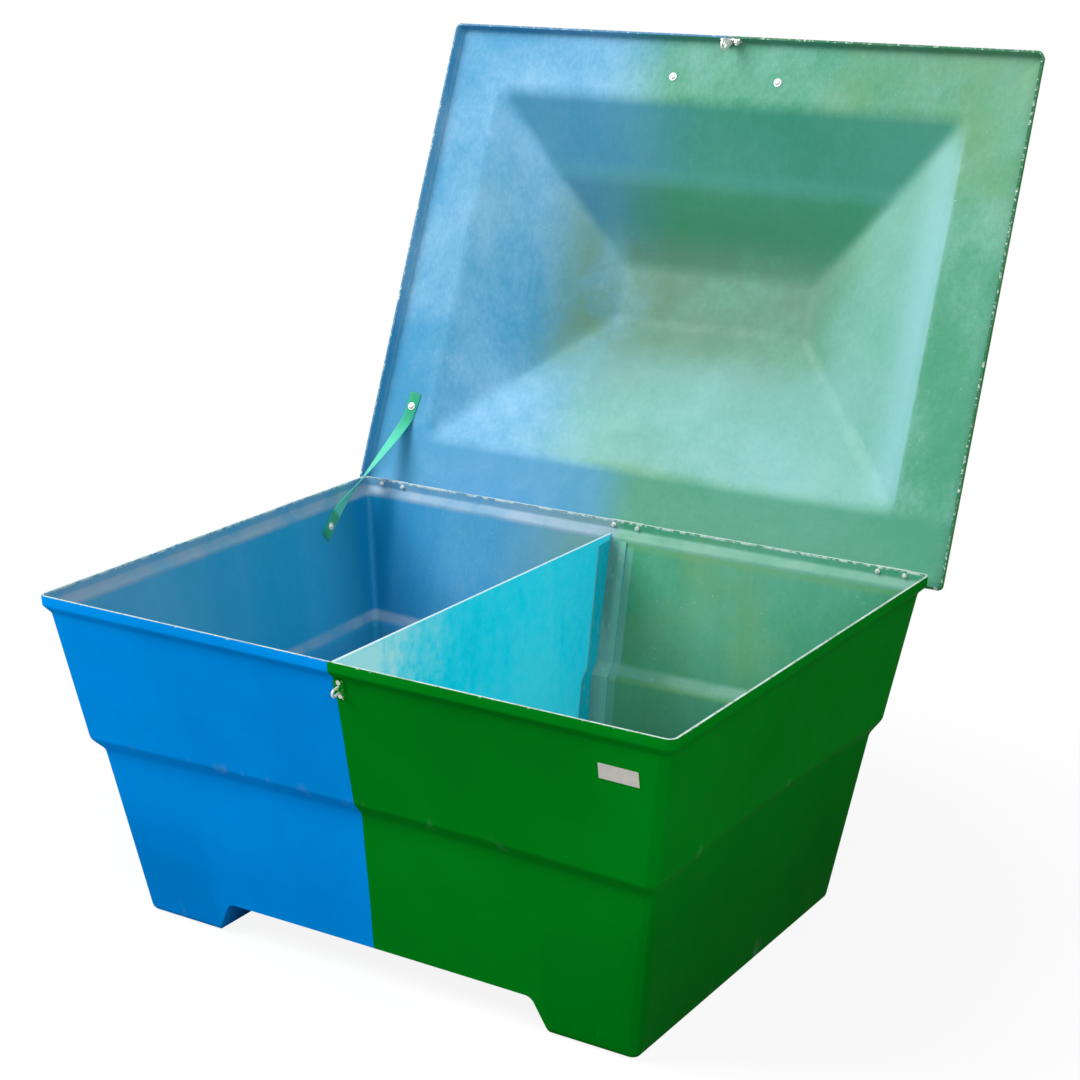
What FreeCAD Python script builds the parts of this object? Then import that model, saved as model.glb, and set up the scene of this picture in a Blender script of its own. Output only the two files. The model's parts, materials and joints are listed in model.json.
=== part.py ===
# Two-compartment grit salt bin in laminated glass-fibre plastic, with its lid held open by a webbing strap.
# Millimetres, +Z up, +X along the front to the right, -Y towards the front.
# The origin lies on the ground, in the middle of the fork channel under the tub.
# The lid and what it carries are modelled closed, then turned open about the hinge pins.
import FreeCAD, Part
import math
import os
import Sketcher

Vector = FreeCAD.Vector
Placement = FreeCAD.Placement
Rotation = FreeCAD.Rotation

# Driving sizes: name, value, what it is
SIZES = (
    ("tub_width", 1200, "outside of the rim, left to right"),
    ("tub_depth", 910, "outside of the rim, front to back"),
    ("tub_height", 582, "ground to the trimmed edge of the rim"),
    ("laminate", 4, "thickness of the moulded shells"),
    ("rim_corner", 22, "corner radius of the rim in plan"),
    ("band_height", 18, "upright band round the rim"),
    ("band_draft", 0.8, "how far the band leans in towards its foot"),
    ("joggle_height", 12, "step in under the band"),
    ("shoulder_end_inset", 13, "ends under the joggle, in from the rim"),
    ("shoulder_face_inset", 8.5, "front and back under the joggle, in from the rim"),
    ("waist_end_inset", 52.5, "ends at the foot of the upper wall, in from the rim"),
    ("waist_face_inset", 44.5, "front and back at the foot of the upper wall, in from the rim"),
    ("waist_height", 326, "height of the foot of the upper wall"),
    ("step_height", 22, "height of the sloping step at the waist"),
    ("step_end_inset", 67, "ends at the head of the lower wall, in from the rim"),
    ("step_face_inset", 64.5, "front and back at the head of the lower wall, in from the rim"),
    ("base_end_inset", 116, "ends at the ground, in from the rim"),
    ("base_face_inset", 116, "front and back at the ground, in from the rim"),
    ("wall_corner", 16, "corner radius of the walls in plan"),
    ("base_edge", 12, "rounding of the bottom edge"),
    ("front_bow", 18, "how far the front and back are drawn in at the waist"),
    ("front_bow_top", 6, "the same under the joggle"),
    ("side_bow", 10, "how far the ends are drawn in at the waist"),
    ("side_bow_top", 3, "the same under the joggle"),
    ("channel_width", 660, "fork channel at the ground"),
    ("channel_roof_width", 600, "fork channel at its roof"),
    ("channel_height", 60, "clear height of the fork channel"),
    ("channel_corner", 18, "rounding under the roof of the channel"),
    ("channel_lip", 8, "rounding of the soles beside the channel"),
    ("divider_thickness", 5, "panel between the two compartments"),
    ("divider_drop_front", 4, "top of the panel below the rim at the front"),
    ("divider_drop_back", 24, "top of the panel below the rim at the back"),
    ("divider_skew", 1.7, "turn of the panel, its back end standing to the left"),
    ("bond_line", 0.1, "resin between panel and strips"),
    ("tape_thickness", 2, "laminate strips that bond the panel in"),
    ("tape_leg", 36, "width of each leg of those strips"),
    ("tape_drop_front", 88, "top of the strips below the rim at the front, clear of the staple's nuts"),
    ("seat_gap", 0.3, "clearance between pieces that rest on each other"),
    ("lid_end_overhang", 19, "trimmed edge of the lid past each end of the rim"),
    ("lid_front_overhang", 36.4, "trimmed edge of the lid in front of the rim"),
    ("lid_corner", 18, "corner radius of the lid in plan"),
    ("skirt_depth", 22, "outside depth of the lid's skirt"),
    ("skirt_draft", 3, "how far the skirt leans in at the front and the ends"),
    ("lid_edge", 8, "rounding between skirt and margin"),
    ("hip_end_margin", 121, "flat margin at each end of the raised hip"),
    ("hip_face_margin", 117, "flat margin in front of the hip and behind it"),
    ("hip_corner", 26, "plan radius at the foot of the hip"),
    ("crown_width", 416, "flat crown of the hip, left to right"),
    ("crown_depth", 112, "flat crown of the hip, front to back"),
    ("crown_corner", 14, "plan radius of the crown"),
    ("hip_rise", 132, "height of the crown above the margin"),
    ("break_rise", 58, "height of the crease round the hip"),
    ("break_draw", 16, "how far the front slope is drawn in at that crease"),
    ("lid_opening", 112, "angle from closed to held open by the strap"),
    ("hinge_width", 66, "length of a butt hinge"),
    ("hinge_inset", 71, "middle of an outer hinge in from the end of the rim"),
    ("hinge_pin_drop", 18, "pins below the rim"),
    ("leaf_thickness", 2.5, "hinge leaf"),
    ("knuckle_diameter", 9, "hinge knuckle"),
    ("pin_diameter", 4.4, "hinge pin"),
    ("pin_clearance", 0.05, "radial clearance of a pin in its knuckle"),
    ("knuckle_gap", 0.4, "end play between two knuckles"),
    ("leaf_screw_spacing", 50, "two screws of a leaf"),
    ("leaf_screw_rise", 9.2, "screws of a leaf above the pin"),
    ("screw_diameter", 4, "countersunk screw"),
    ("screw_head", 8, "head of that screw"),
    ("screw_length", 13, "overall length of that screw"),
    ("nut_flats", 7, "across flats of its nut"),
    ("nut_height", 3.2, "height of its nut"),
    ("washer_diameter", 9, "its washer"),
    ("washer_thickness", 0.8, "thickness of that washer"),
    ("hole_clearance", 0.1, "radial clearance of a screw or bolt in its hole"),
    ("bolt_diameter", 6, "strap and handle bolt"),
    ("bolt_head", 11, "domed head of that bolt"),
    ("bolt_head_height", 3.6, "height of that head"),
    ("bolt_nut_flats", 10, "across flats of its nut"),
    ("bolt_nut_height", 5, "height of its nut"),
    ("bolt_washer", 15, "its washer"),
    ("bolt_washer_thickness", 1.2, "thickness of that washer"),
    ("bolt_length", 15, "shank of the strap and tab bolts"),
    ("handle_bolt_length", 20, "shank of the handle bolts"),
    ("screw_socket", 2.5, "hexagon socket of the countersunk screw"),
    ("strap_width", 25, "webbing strap"),
    ("strap_thickness", 1.6, "thickness of the webbing"),
    ("strap_tail", 28, "webbing past each bolt"),
    ("strap_tub_rest", 16, "webbing flat on the wall before it leaves the bolt"),
    ("strap_lid_rest", 58, "webbing flat on the lid before the bolt"),
    ("strap_lid_slant", 4, "how far the end on the lid slants inwards over its tail"),
    ("strap_pull", 0.5, "how much of the free span bends to lie flat at its ends"),
    ("strap_steps", 16, "stations along the twist"),
    ("strap_tub_inset", 147, "strap bolt on the left wall in from the back of the rim"),
    ("strap_tub_drop", 65, "that bolt below the rim"),
    ("strap_lid_inset", 76, "strap bolt on the lid in from its left edge"),
    ("strap_lid_reach", 177, "strap bolt from the back edge of the lid"),
    ("staple_side", 10, "padlock staple right of the middle"),
    ("staple_drop", 47.5, "middle of the staple below the rim"),
    ("staple_plate_width", 20, "plate of the staple"),
    ("staple_plate_length", 34, "plate of the staple, up the wall"),
    ("staple_plate_thickness", 2.5, "plate of the staple"),
    ("staple_screw_spacing", 24, "two screws of the staple"),
    ("staple_wire", 4, "bent wire of the eye"),
    ("staple_eye_width", 7, "clear width of the eye"),
    ("staple_reach", 22, "how far the eye stands off its plate's back"),
    ("tab_thickness", 3, "locking tab on the lid"),
    ("tab_foot_width", 40, "foot of the tab along the skirt"),
    ("tab_hole", 12, "padlock hole in the tab"),
    ("tab_web", 6, "metal round that hole"),
    ("tab_hole_drop", 15.6, "centre of that hole below the trimmed edge of the lid"),
    ("tab_hole_inset", 20.7, "centre of that hole in from the inside of the skirt"),
    ("tab_foot_height", 13, "height of the foot on the skirt"),
    ("tab_foot_rise", 1, "foot above the trimmed edge of the lid"),
    ("tab_bolt_spacing", 24, "two bolts of the tab"),
    ("tab_bolt_rise", 7.5, "those bolts above the trimmed edge"),
    ("tab_side", 3, "middle of the tab right of the middle of the bin"),
    ("handle_span", 222, "bolts of the lid handle"),
    ("handle_reach", 80, "bolts from the front edge of the lid"),
    ("handle_width", 26, "handle, front to back"),
    ("handle_rise", 38, "handle above the lid"),
    ("handle_grip", 12, "thickness of the grip"),
    ("handle_foot", 34, "length of each foot"),
    ("handle_foot_height", 11, "thickness of each foot"),
    ("handle_edge", 3, "rounding of the handle"),
    ("handle_hole_depth", 17, "blind holes in the feet of the handle"),
    ("label_inset", 97, "middle of the bare label plate in from the right end of the rim"),
    ("label_drop", 78, "middle of that plate below the rim"),
    ("label_width", 68, "width of that plate"),
    ("label_tall", 25, "height of the plate itself"),
    ("label_thickness", 0.8, "thickness of the plate"),
)

doc = FreeCAD.newDocument("grit_salt_bin")
sizes = doc.addObject("Spreadsheet::Sheet", "sizes")
for row, (alias, amount, meaning) in enumerate(SIZES, start=1):
    sizes.set("A%d" % row, meaning)
    sizes.set("B%d" % row, str(amount))
    sizes.setAlias("B%d" % row, alias)
doc.recompute()

# Measures that several pieces share, written with the sheet's names
LID_SEAT = "(sizes.tub_height + sizes.seat_gap)"
LID_RAW = "(sizes.tub_height + sizes.seat_gap + sizes.laminate - sizes.skirt_depth)"
LID_BACK = "(sizes.tub_depth / 2 + 2 * sizes.seat_gap + sizes.knuckle_diameter + sizes.laminate)"
LID_FRONT = "(-sizes.tub_depth / 2 - sizes.lid_front_overhang)"
LID_MIDDLE = "((%s + %s) / 2)" % (LID_BACK, LID_FRONT)
LID_HALF_WIDTH = "(sizes.tub_width / 2 + sizes.lid_end_overhang)"
LID_HALF_DEPTH = "((%s - %s) / 2)" % (LID_BACK, LID_FRONT)
PIN_DEPTH = "(sizes.tub_depth / 2 + sizes.seat_gap + sizes.knuckle_diameter / 2)"
PIN_HEIGHT = "(sizes.tub_height - sizes.hinge_pin_drop)"
SCREW_LEVEL = "(%s + sizes.leaf_screw_rise)" % PIN_HEIGHT
SHOULDER = "(sizes.tub_height - sizes.band_height - sizes.joggle_height)"
STEP_FOOT = "(sizes.waist_height - sizes.step_height)"

# How far the inner face turns above the outer one, as a share of the skin between them
JOGGLE_LIFT = 0.45
STEP_LIFT = 0.35
# How far the hip's inner face is drawn in at its edges, as a share of the skin
HIP_DRAW = 0.2
# Half outline of a domed bolt head, as shares of its radius and its height
DOME = ((0, 1), (0.45, 1), (0.8, 0.72), (1, 0.3))
# Rounds of the search that seats a piece on a wall
SEAT_ROUNDS = 6


def evaluate(expression):
    """The number that an expression of the sheet's names stands for."""
    result = sizes.evalExpression(expression)
    return float(getattr(result, "Value", result))


def size(alias):
    return evaluate("sizes." + alias)


# Small helpers for bodies and sketches

def new_body(label):
    body = doc.addObject("PartDesign::Body", label)
    body.Label = label
    return body


def new_sketch(body, name, role, level="0", shift_y="0", shift_x="0"):
    """A sketch on one of the body's own origin planes, moved along its normal and in its plane."""
    sketch = body.newObject("Sketcher::SketchObject", name)
    plane = [item for item in body.Origin.OriginFeatures if item.Role == role][0]
    sketch.AttachmentSupport = [(plane, "")]
    sketch.MapMode = "FlatFace"
    for axis, expression in (("x", shift_x), ("y", shift_y), ("z", level)):
        if expression != "0":
            sketch.setExpression(".AttachmentOffset.Base." + axis, expression)
    return sketch


def dimension(sketch, kind, where, expression, name):
    """A driving dimension of the sketch, bound to an expression."""
    index = sketch.addConstraint(Sketcher.Constraint(kind, *where, evaluate(expression)))
    sketch.renameConstraint(index, name)
    sketch.setExpression("Constraints." + name, expression)


def ring(sketch, items, joints):
    """Adds arcs or lines and joins them end to end, each joint tangent."""
    sketch.addGeometry(items, False)
    for first, first_end, second, second_end in joints:
        sketch.addConstraint(Sketcher.Constraint("Tangent", first, first_end, second, second_end))


def arc(centre_x, centre_y, radius, start, end):
    circle = Part.Circle(Vector(centre_x, centre_y, 0), Vector(0, 0, 1), radius)
    return Part.ArcOfCircle(circle, math.radians(start), math.radians(end))


def line(x1, y1, x2, y2):
    return Part.LineSegment(Vector(x1, y1, 0), Vector(x2, y2, 0))


def straight_section(body, name, level, half_width, half_depth, corner, shift="0"):
    """A level rounded rectangle with straight sides."""
    sketch = new_sketch(body, name, "XY_Plane", level, shift)
    a, b, r = evaluate(half_width), evaluate(half_depth), evaluate(corner)
    items = [
        line(r - a, -b, a - r, -b), arc(a - r, r - b, r, 270, 360),
        line(a, r - b, a, b - r), arc(a - r, b - r, r, 0, 90),
        line(a - r, b, r - a, b), arc(r - a, b - r, r, 90, 180),
        line(-a, b - r, -a, r - b), arc(r - a, r - b, r, 180, 270),
    ]
    ring(sketch, items, [(i, 2, (i + 1) % 8, 1) for i in range(8)])
    for i in (0, 4):
        sketch.addConstraint(Sketcher.Constraint("Horizontal", i))
    for i in (2, 6):
        sketch.addConstraint(Sketcher.Constraint("Vertical", i))
    for i in (3, 5, 7):
        sketch.addConstraint(Sketcher.Constraint("Equal", 1, i))
    dimension(sketch, "Radius", (1,), corner, "corner")
    dimension(sketch, "DistanceX", (-1, 1, 2, 1), half_width, "right")
    dimension(sketch, "DistanceX", (6, 1, -1, 1), half_width, "left")
    dimension(sketch, "DistanceY", (-1, 1, 4, 1), half_depth, "back")
    dimension(sketch, "DistanceY", (0, 1, -1, 1), half_depth, "front")
    return sketch


def bowed_section(body, name, level, half_width, half_depth, corner, side_bow, front_bow):
    """A level rounded rectangle whose four sides are drawn in at their middles."""
    sketch = new_sketch(body, name, "XY_Plane", level)
    a, b, r = evaluate(half_width), evaluate(half_depth), evaluate(corner)
    inset_x, inset_y = evaluate(side_bow), evaluate(front_bow)
    cx, cy = a - r, b - r

    def flat_arc(reach, inset):
        radius = (reach ** 2 + (r - inset) ** 2 - r ** 2) / (2 * inset)
        return radius, math.degrees(math.asin(reach / (radius + r)))

    front_radius, front_turn = flat_arc(cx, inset_y)
    side_radius, side_turn = flat_arc(cy, inset_x)
    off_y = b - inset_y + front_radius
    off_x = a - inset_x + side_radius
    items = [
        arc(0, -off_y, front_radius, 90 - front_turn, 90 + front_turn),
        arc(cx, -cy, r, 270 - front_turn, 360 + side_turn),
        arc(off_x, 0, side_radius, 180 - side_turn, 180 + side_turn),
        arc(cx, cy, r, -side_turn, 90 + front_turn),
        arc(0, off_y, front_radius, 270 - front_turn, 270 + front_turn),
        arc(-cx, cy, r, 90 - front_turn, 180 + side_turn),
        arc(-off_x, 0, side_radius, -side_turn, side_turn),
        arc(-cx, -cy, r, 180 - side_turn, 270 + front_turn),
    ]
    joints = [
        (0, 1, 1, 1), (1, 2, 2, 2), (2, 1, 3, 1), (3, 2, 4, 2),
        (4, 1, 5, 1), (5, 2, 6, 2), (6, 1, 7, 1), (7, 2, 0, 2),
    ]
    ring(sketch, items, joints)
    for i in (3, 5, 7):
        sketch.addConstraint(Sketcher.Constraint("Equal", 1, i))
    dimension(sketch, "Radius", (1,), corner, "corner")
    reach_x = "%s - %s" % (half_width, corner)
    reach_y = "%s - %s" % (half_depth, corner)
    for corner_arc, sign_x, sign_y in ((1, 1, -1), (3, 1, 1), (5, -1, 1), (7, -1, -1)):
        across = (-1, 1, corner_arc, 3) if sign_x > 0 else (corner_arc, 3, -1, 1)
        along = (-1, 1, corner_arc, 3) if sign_y > 0 else (corner_arc, 3, -1, 1)
        dimension(sketch, "DistanceX", across, reach_x, "centre_x%d" % corner_arc)
        dimension(sketch, "DistanceY", along, reach_y, "centre_y%d" % corner_arc)
    # A construction point at the middle of each side carries the bow
    middles = (
        (0, "DistanceY", "DistanceX", 0, -(b - inset_y), "%s - %s" % (half_depth, front_bow)),
        (2, "DistanceX", "DistanceY", a - inset_x, 0, "%s - %s" % (half_width, side_bow)),
        (4, "DistanceY", "DistanceX", 0, b - inset_y, "%s - %s" % (half_depth, front_bow)),
        (6, "DistanceX", "DistanceY", -(a - inset_x), 0, "%s - %s" % (half_width, side_bow)),
    )
    for side, reach_kind, level_kind, x, y, expression in middles:
        point = sketch.addGeometry(Part.Point(Vector(x, y, 0)), True)
        sketch.addConstraint(Sketcher.Constraint(level_kind, -1, 1, point, 1, 0))
        where = (-1, 1, point, 1) if x + y > 0 else (point, 1, -1, 1)
        dimension(sketch, reach_kind, where, expression, "middle%d" % side)
        sketch.addConstraint(Sketcher.Constraint("PointOnObject", point, 1, side))
    return sketch


def outline(body, name, role, points, level="0"):
    """A closed outline of straight lines through points given as pairs of expressions."""
    sketch = new_sketch(body, name, role, level)
    places = [(evaluate(x), evaluate(y)) for x, y in points]
    count = len(places)
    for i in range(count):
        sketch.addGeometry(line(*places[i], *places[(i + 1) % count]), False)
    for i in range(count):
        sketch.addConstraint(Sketcher.Constraint("Coincident", i, 2, (i + 1) % count, 1))
    for i, (x, y) in enumerate(points):
        for kind, letter, expression, amount in (
            ("DistanceX", "x", x, places[i][0]),
            ("DistanceY", "y", y, places[i][1]),
        ):
            if amount >= 0:
                dimension(sketch, kind, (-1, 1, i, 1), expression, "%s%d" % (letter, i))
            else:
                dimension(sketch, kind, (i, 1, -1, 1), "-(%s)" % expression, "%s%d" % (letter, i))
    return sketch


def circles(body, name, role, centres, radius, level="0"):
    """Equal circles at centres given as pairs of expressions."""
    sketch = new_sketch(body, name, role, level)
    for i, (x, y) in enumerate(centres):
        place = Vector(evaluate(x), evaluate(y), 0)
        sketch.addGeometry(Part.Circle(place, Vector(0, 0, 1), evaluate(radius)), False)
        dimension(sketch, "Radius", (i,), radius, "radius%d" % i)
        for kind, letter, expression, amount in (
            ("DistanceX", "x", x, place.x),
            ("DistanceY", "y", y, place.y),
        ):
            if amount >= 0:
                dimension(sketch, kind, (-1, 1, i, 3), expression, "%s%d" % (letter, i))
            else:
                dimension(sketch, kind, (i, 3, -1, 1), "-(%s)" % expression, "%s%d" % (letter, i))
    return sketch


def loft(body, kind, name, sections):
    """A ruled loft through level sections, added or cut."""
    feature = body.newObject("PartDesign::" + kind, name)
    feature.Profile = sections[0]
    feature.Sections = sections[1:]
    feature.Ruled = True
    doc.recompute()
    return feature


def pad(body, name, sketch, length, symmetric=False, back=False):
    feature = body.newObject("PartDesign::Pad", name)
    feature.Profile = sketch
    feature.setExpression("Length", length)
    feature.Midplane = symmetric
    feature.Reversed = back
    doc.recompute()
    return feature


def pocket(body, name, sketch, length, symmetric=False, back=False):
    """A cut of a given length, which has to take material away."""
    before = body.Tip.Shape.Volume
    feature = body.newObject("PartDesign::Pocket", name)
    feature.Profile = sketch
    feature.setExpression("Length", length)
    feature.Midplane = symmetric
    feature.Reversed = back
    doc.recompute()
    if not feature.Shape.Volume < before - 1e-6:
        raise RuntimeError(name + " cuts nothing")
    return feature


def edge_names(shape, test):
    return ["Edge%d" % (i + 1) for i, edge in enumerate(shape.Edges) if test(edge)]


def round_edges(body, name, test, radius):
    """A fillet on the edges of the body's last feature that pass a test."""
    base = body.Tip
    names = edge_names(base.Shape, test)
    if not names:
        raise RuntimeError(name + " finds no edge")
    feature = body.newObject("PartDesign::Fillet", name)
    feature.Base = (base, names)
    feature.setExpression("Radius", radius)
    doc.recompute()
    return feature


def countersink(body, name, test):
    """A chamfer for the head of a countersunk screw on every screw hole in a face that a test picks."""
    base = body.Tip
    radius = size("screw_diameter") / 2 + size("hole_clearance")
    names = edge_names(base.Shape, lambda edge: test(edge) and hasattr(edge.Curve, "Radius")
                       and abs(edge.Curve.Radius - radius) < 0.001)
    if len(names) != 2:
        raise RuntimeError(name + " needs two holes")
    feature = body.newObject("PartDesign::Chamfer", name)
    feature.Base = (base, names)
    feature.setExpression("Size", "(sizes.screw_head - sizes.screw_diameter) / 2 - sizes.hole_clearance")
    doc.recompute()
    return feature


def lies_at(axis, level):
    """A test for edges that lie in one plane square to an axis."""
    low, high = axis + "Min", axis + "Max"

    def test(edge):
        box = edge.BoundBox
        return abs(getattr(box, low) - level) < 0.01 and abs(getattr(box, high) - level) < 0.01

    return test


def frame(origin, up, normal):
    """A placement whose Z is the normal, whose Y is up, and whose X completes them."""
    normal = Vector(normal).normalize()
    across = Vector(up).cross(normal).normalize()
    up = normal.cross(across)
    matrix = FreeCAD.Matrix(
        across.x, up.x, normal.x, origin.x,
        across.y, up.y, normal.y, origin.y,
        across.z, up.z, normal.z, origin.z,
        0, 0, 0, 1,
    )
    return Placement(matrix)


NODES = []


def keep(item, placement=None):
    """Lists a finished sub-part for export, placed where it belongs."""
    if placement is not None:
        item.Placement = placement.multiply(item.Placement)
    NODES.append(item)
    return item


def group(label, solids, placements, outer=None):
    """One node of equal solids, a copy of each at every placement."""
    copies = []
    for placement in placements:
        whole = outer.multiply(placement) if outer is not None else placement
        for solid in solids:
            copy = solid.copy()
            copy.Placement = whole.multiply(copy.Placement)
            copies.append(copy)
    item = doc.addObject("Part::Feature", label)
    item.Label = label
    item.Shape = copies[0] if len(copies) == 1 else Part.makeCompound(copies)
    NODES.append(item)
    return item


lid_open = Placement(
    Vector(0, 0, 0),
    Rotation(Vector(1, 0, 0), -size("lid_opening")),
    Vector(0, evaluate(PIN_DEPTH), evaluate(PIN_HEIGHT)),
)


# Tub: a drafted shell with a joggled rim, a step at the waist and a fork channel between two skids

def wall_end(place):
    """Half the outside width of the tub at a named place of its wall."""
    return "(sizes.tub_width / 2 - sizes.%s_end_inset)" % place


def wall_face(place):
    return "(sizes.tub_depth / 2 - sizes.%s_face_inset)" % place


def tub_sections(body, prefix, skin):
    """The tub's sections from the ground up, drawn in by skin, which also lifts them where the wall turns."""

    def wall(half, level, inset):
        lean = "(sizes.base_%s_inset - sizes.step_%s_inset)" % (half, half)
        side = "width" if half == "end" else "depth"
        return "(sizes.tub_%s / 2 - sizes.base_%s_inset + %s * %s / %s - %s - %s)" % (
            side, half, lean, level, STEP_FOOT, skin, inset)

    sections = []
    edge = "(sizes.base_edge - %s)" % skin
    for turn in (0, 45, 90):
        inset = "(%s * (1 - sin(%d)))" % (edge, turn)
        level = "(%s + %s * (1 - cos(%d)))" % (skin, edge, turn)
        corner = "(sizes.wall_corner - %s - %s)" % (skin, inset)
        sections.append(straight_section(
            body, "%s_base_%d" % (prefix, turn), level, wall("end", level, inset),
            wall("face", level, inset), corner))
    corner = "(sizes.wall_corner - %s)" % skin
    joggle_lift = "%s * %s" % (skin, JOGGLE_LIFT)
    step_lift = "%s * %s" % (skin, STEP_LIFT)
    for place, level, side_bow, front_bow in (
        ("step", "%s + %s" % (STEP_FOOT, step_lift), "sizes.side_bow", "sizes.front_bow"),
        ("waist", "sizes.waist_height + %s" % step_lift, "sizes.side_bow", "sizes.front_bow"),
        ("shoulder", "%s + %s" % (SHOULDER, joggle_lift), "sizes.side_bow_top", "sizes.front_bow_top"),
    ):
        sections.append(bowed_section(
            body, "%s_%s" % (prefix, place), level, "(%s - %s)" % (wall_end(place), skin),
            "(%s - %s)" % (wall_face(place), skin), corner, side_bow, front_bow))
    rim = "(sizes.rim_corner - %s)" % skin
    for word, level, draft in (
        ("band", "sizes.tub_height - sizes.band_height + %s" % joggle_lift, "sizes.band_draft"),
        ("rim", "sizes.tub_height + %s" % skin, "0"),
    ):
        sections.append(straight_section(
            body, "%s_%s" % (prefix, word), level, "(sizes.tub_width / 2 - %s - %s)" % (skin, draft),
            "(sizes.tub_depth / 2 - %s - %s)" % (skin, draft), rim))
    return sections


def cut_channel(body, name, skin):
    """Cuts the fork channel through the body, grown by skin where the laminate has to stay."""
    lean = "atan((sizes.channel_width - sizes.channel_roof_width) / 2 / sizes.channel_height)"
    run = "tan((90 deg - %s) / 2)" % lean
    lip = "(sizes.channel_lip - %s)" % skin
    corner = "(sizes.channel_corner + %s)" % skin
    lip_centre = "(sizes.channel_width / 2 + sizes.channel_lip * %s)" % run
    corner_centre = "(sizes.channel_roof_width / 2 - sizes.channel_corner * %s)" % run
    corner_level = "(sizes.channel_height - sizes.channel_corner)"
    lip_x, lip_r, lip_z = evaluate(lip_centre), evaluate(lip), size("channel_lip")
    roof_x, roof_r, roof_z = evaluate(corner_centre), evaluate(corner), evaluate(corner_level)
    turn, low = evaluate(lean), evaluate(skin)
    across, along = math.cos(math.radians(turn)), math.sin(math.radians(turn))
    foot = (lip_x - lip_r * across, lip_z - lip_r * along)
    head = (roof_x + roof_r * across, roof_z + roof_r * along)
    sketch = new_sketch(body, name + "_outline", "XZ_Plane")
    sketch.addGeometry([
        line(-lip_x, -lip_z, lip_x, -lip_z),
        line(lip_x, -lip_z, lip_x, low),
        arc(lip_x, lip_z, lip_r, 180 + turn, 270),
        line(foot[0], foot[1], head[0], head[1]),
        arc(roof_x, roof_z, roof_r, turn, 90),
        line(roof_x, roof_z + roof_r, -roof_x, roof_z + roof_r),
        arc(-roof_x, roof_z, roof_r, 90, 180 - turn),
        line(-head[0], head[1], -foot[0], foot[1]),
        arc(-lip_x, lip_z, lip_r, 270, 360 - turn),
        line(-lip_x, low, -lip_x, -lip_z),
    ], False)
    for first, first_end, second, second_end in ((0, 2, 1, 1), (1, 2, 2, 2), (8, 1, 9, 1), (9, 2, 0, 1)):
        sketch.addConstraint(Sketcher.Constraint("Coincident", first, first_end, second, second_end))
    for first, first_end, second, second_end in (
        (2, 1, 3, 1), (3, 2, 4, 1), (4, 2, 5, 1), (5, 2, 6, 1), (6, 2, 7, 1), (7, 2, 8, 2),
    ):
        sketch.addConstraint(Sketcher.Constraint("Tangent", first, first_end, second, second_end))
    sketch.addConstraint(Sketcher.Constraint("Horizontal", 0))
    for upright in (1, 9):
        sketch.addConstraint(Sketcher.Constraint("Vertical", upright))
    dimension(sketch, "Radius", (2,), lip, "lip")
    dimension(sketch, "Radius", (4,), corner, "corner")
    sketch.addConstraint(Sketcher.Constraint("Equal", 2, 8))
    sketch.addConstraint(Sketcher.Constraint("Equal", 4, 6))
    for item, centre, level, word in ((2, lip_centre, "sizes.channel_lip", "lip"),
                                      (4, corner_centre, corner_level, "corner")):
        mirrored = 8 if item == 2 else 6
        dimension(sketch, "DistanceX", (-1, 1, item, 3), centre, word + "_right")
        dimension(sketch, "DistanceX", (mirrored, 3, -1, 1), centre, word + "_left")
        dimension(sketch, "DistanceY", (-1, 1, item, 3), level, word + "_level")
        dimension(sketch, "DistanceY", (-1, 1, mirrored, 3), level, word + "_other_level")
    sketch.addConstraint(Sketcher.Constraint("Vertical", 2, 3, 2, 2))
    sketch.addConstraint(Sketcher.Constraint("Vertical", 8, 3, 8, 1))
    dimension(sketch, "DistanceY", (0, 1, -1, 1), "sizes.channel_lip", "below")
    pocket(body, name, sketch, "2 * sizes.tub_depth", symmetric=True)


def hollow(label, skin):
    """The inside of the tub, seen skin away from its outside."""
    body = new_body(label)
    loft(body, "AdditiveLoft", label + "_loft", tub_sections(body, label, skin))
    cut_channel(body, label + "_channel", skin)
    return body


def boolean(kind, label, base, tool):
    item = doc.addObject("Part::" + kind, label)
    item.Label = label
    item.Base = base
    item.Tool = tool
    doc.recompute()
    return item


def drill(base, label, radius, frames, length="4 * sizes.laminate"):
    """Cuts equal round holes, each centred on a frame's origin and running along its Z."""
    holes = []
    for number, place in enumerate(frames, start=1):
        hole = doc.addObject("Part::Cylinder", "%s_hole_%d" % (label, number))
        hole.setExpression("Radius", radius)
        hole.setExpression("Height", length)
        hole.Placement = place.multiply(Placement(Vector(0, 0, -evaluate(length) / 2), Rotation()))
        holes.append(hole)
    doc.recompute()
    tool = doc.addObject("Part::Compound", label + "_holes")
    tool.Links = holes
    return boolean("Cut", label, base, tool)


def seat(shape, guess, axis):
    """The point of a shape reached from a guess along an axis, and the way back from it to the guess."""
    spot = Vector(guess)
    for _ in range(SEAT_ROUNDS):
        vertex = Part.Vertex(spot)
        face = min(shape.Faces, key=lambda item: item.distToShape(vertex)[0])
        point = face.distToShape(vertex)[1][0][0]
        setattr(spot, axis, getattr(point, axis))
    normal = face.normalAt(*face.Surface.parameter(point))
    if normal.dot(guess.sub(point)) < 0:
        normal = normal.negative()
    return point, normal


def ease(point, normal, distance):
    return point.add(Vector(normal).normalize().multiply(distance))


solid = new_body("tub_outside")
loft(solid, "AdditiveLoft", "outside_loft", tub_sections(solid, "outside", "0"))
cut_channel(solid, "channel", "0")
inside = hollow("tub_inside", "sizes.laminate")
shell = boolean("Cut", "tub_shell", solid, inside)

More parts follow.
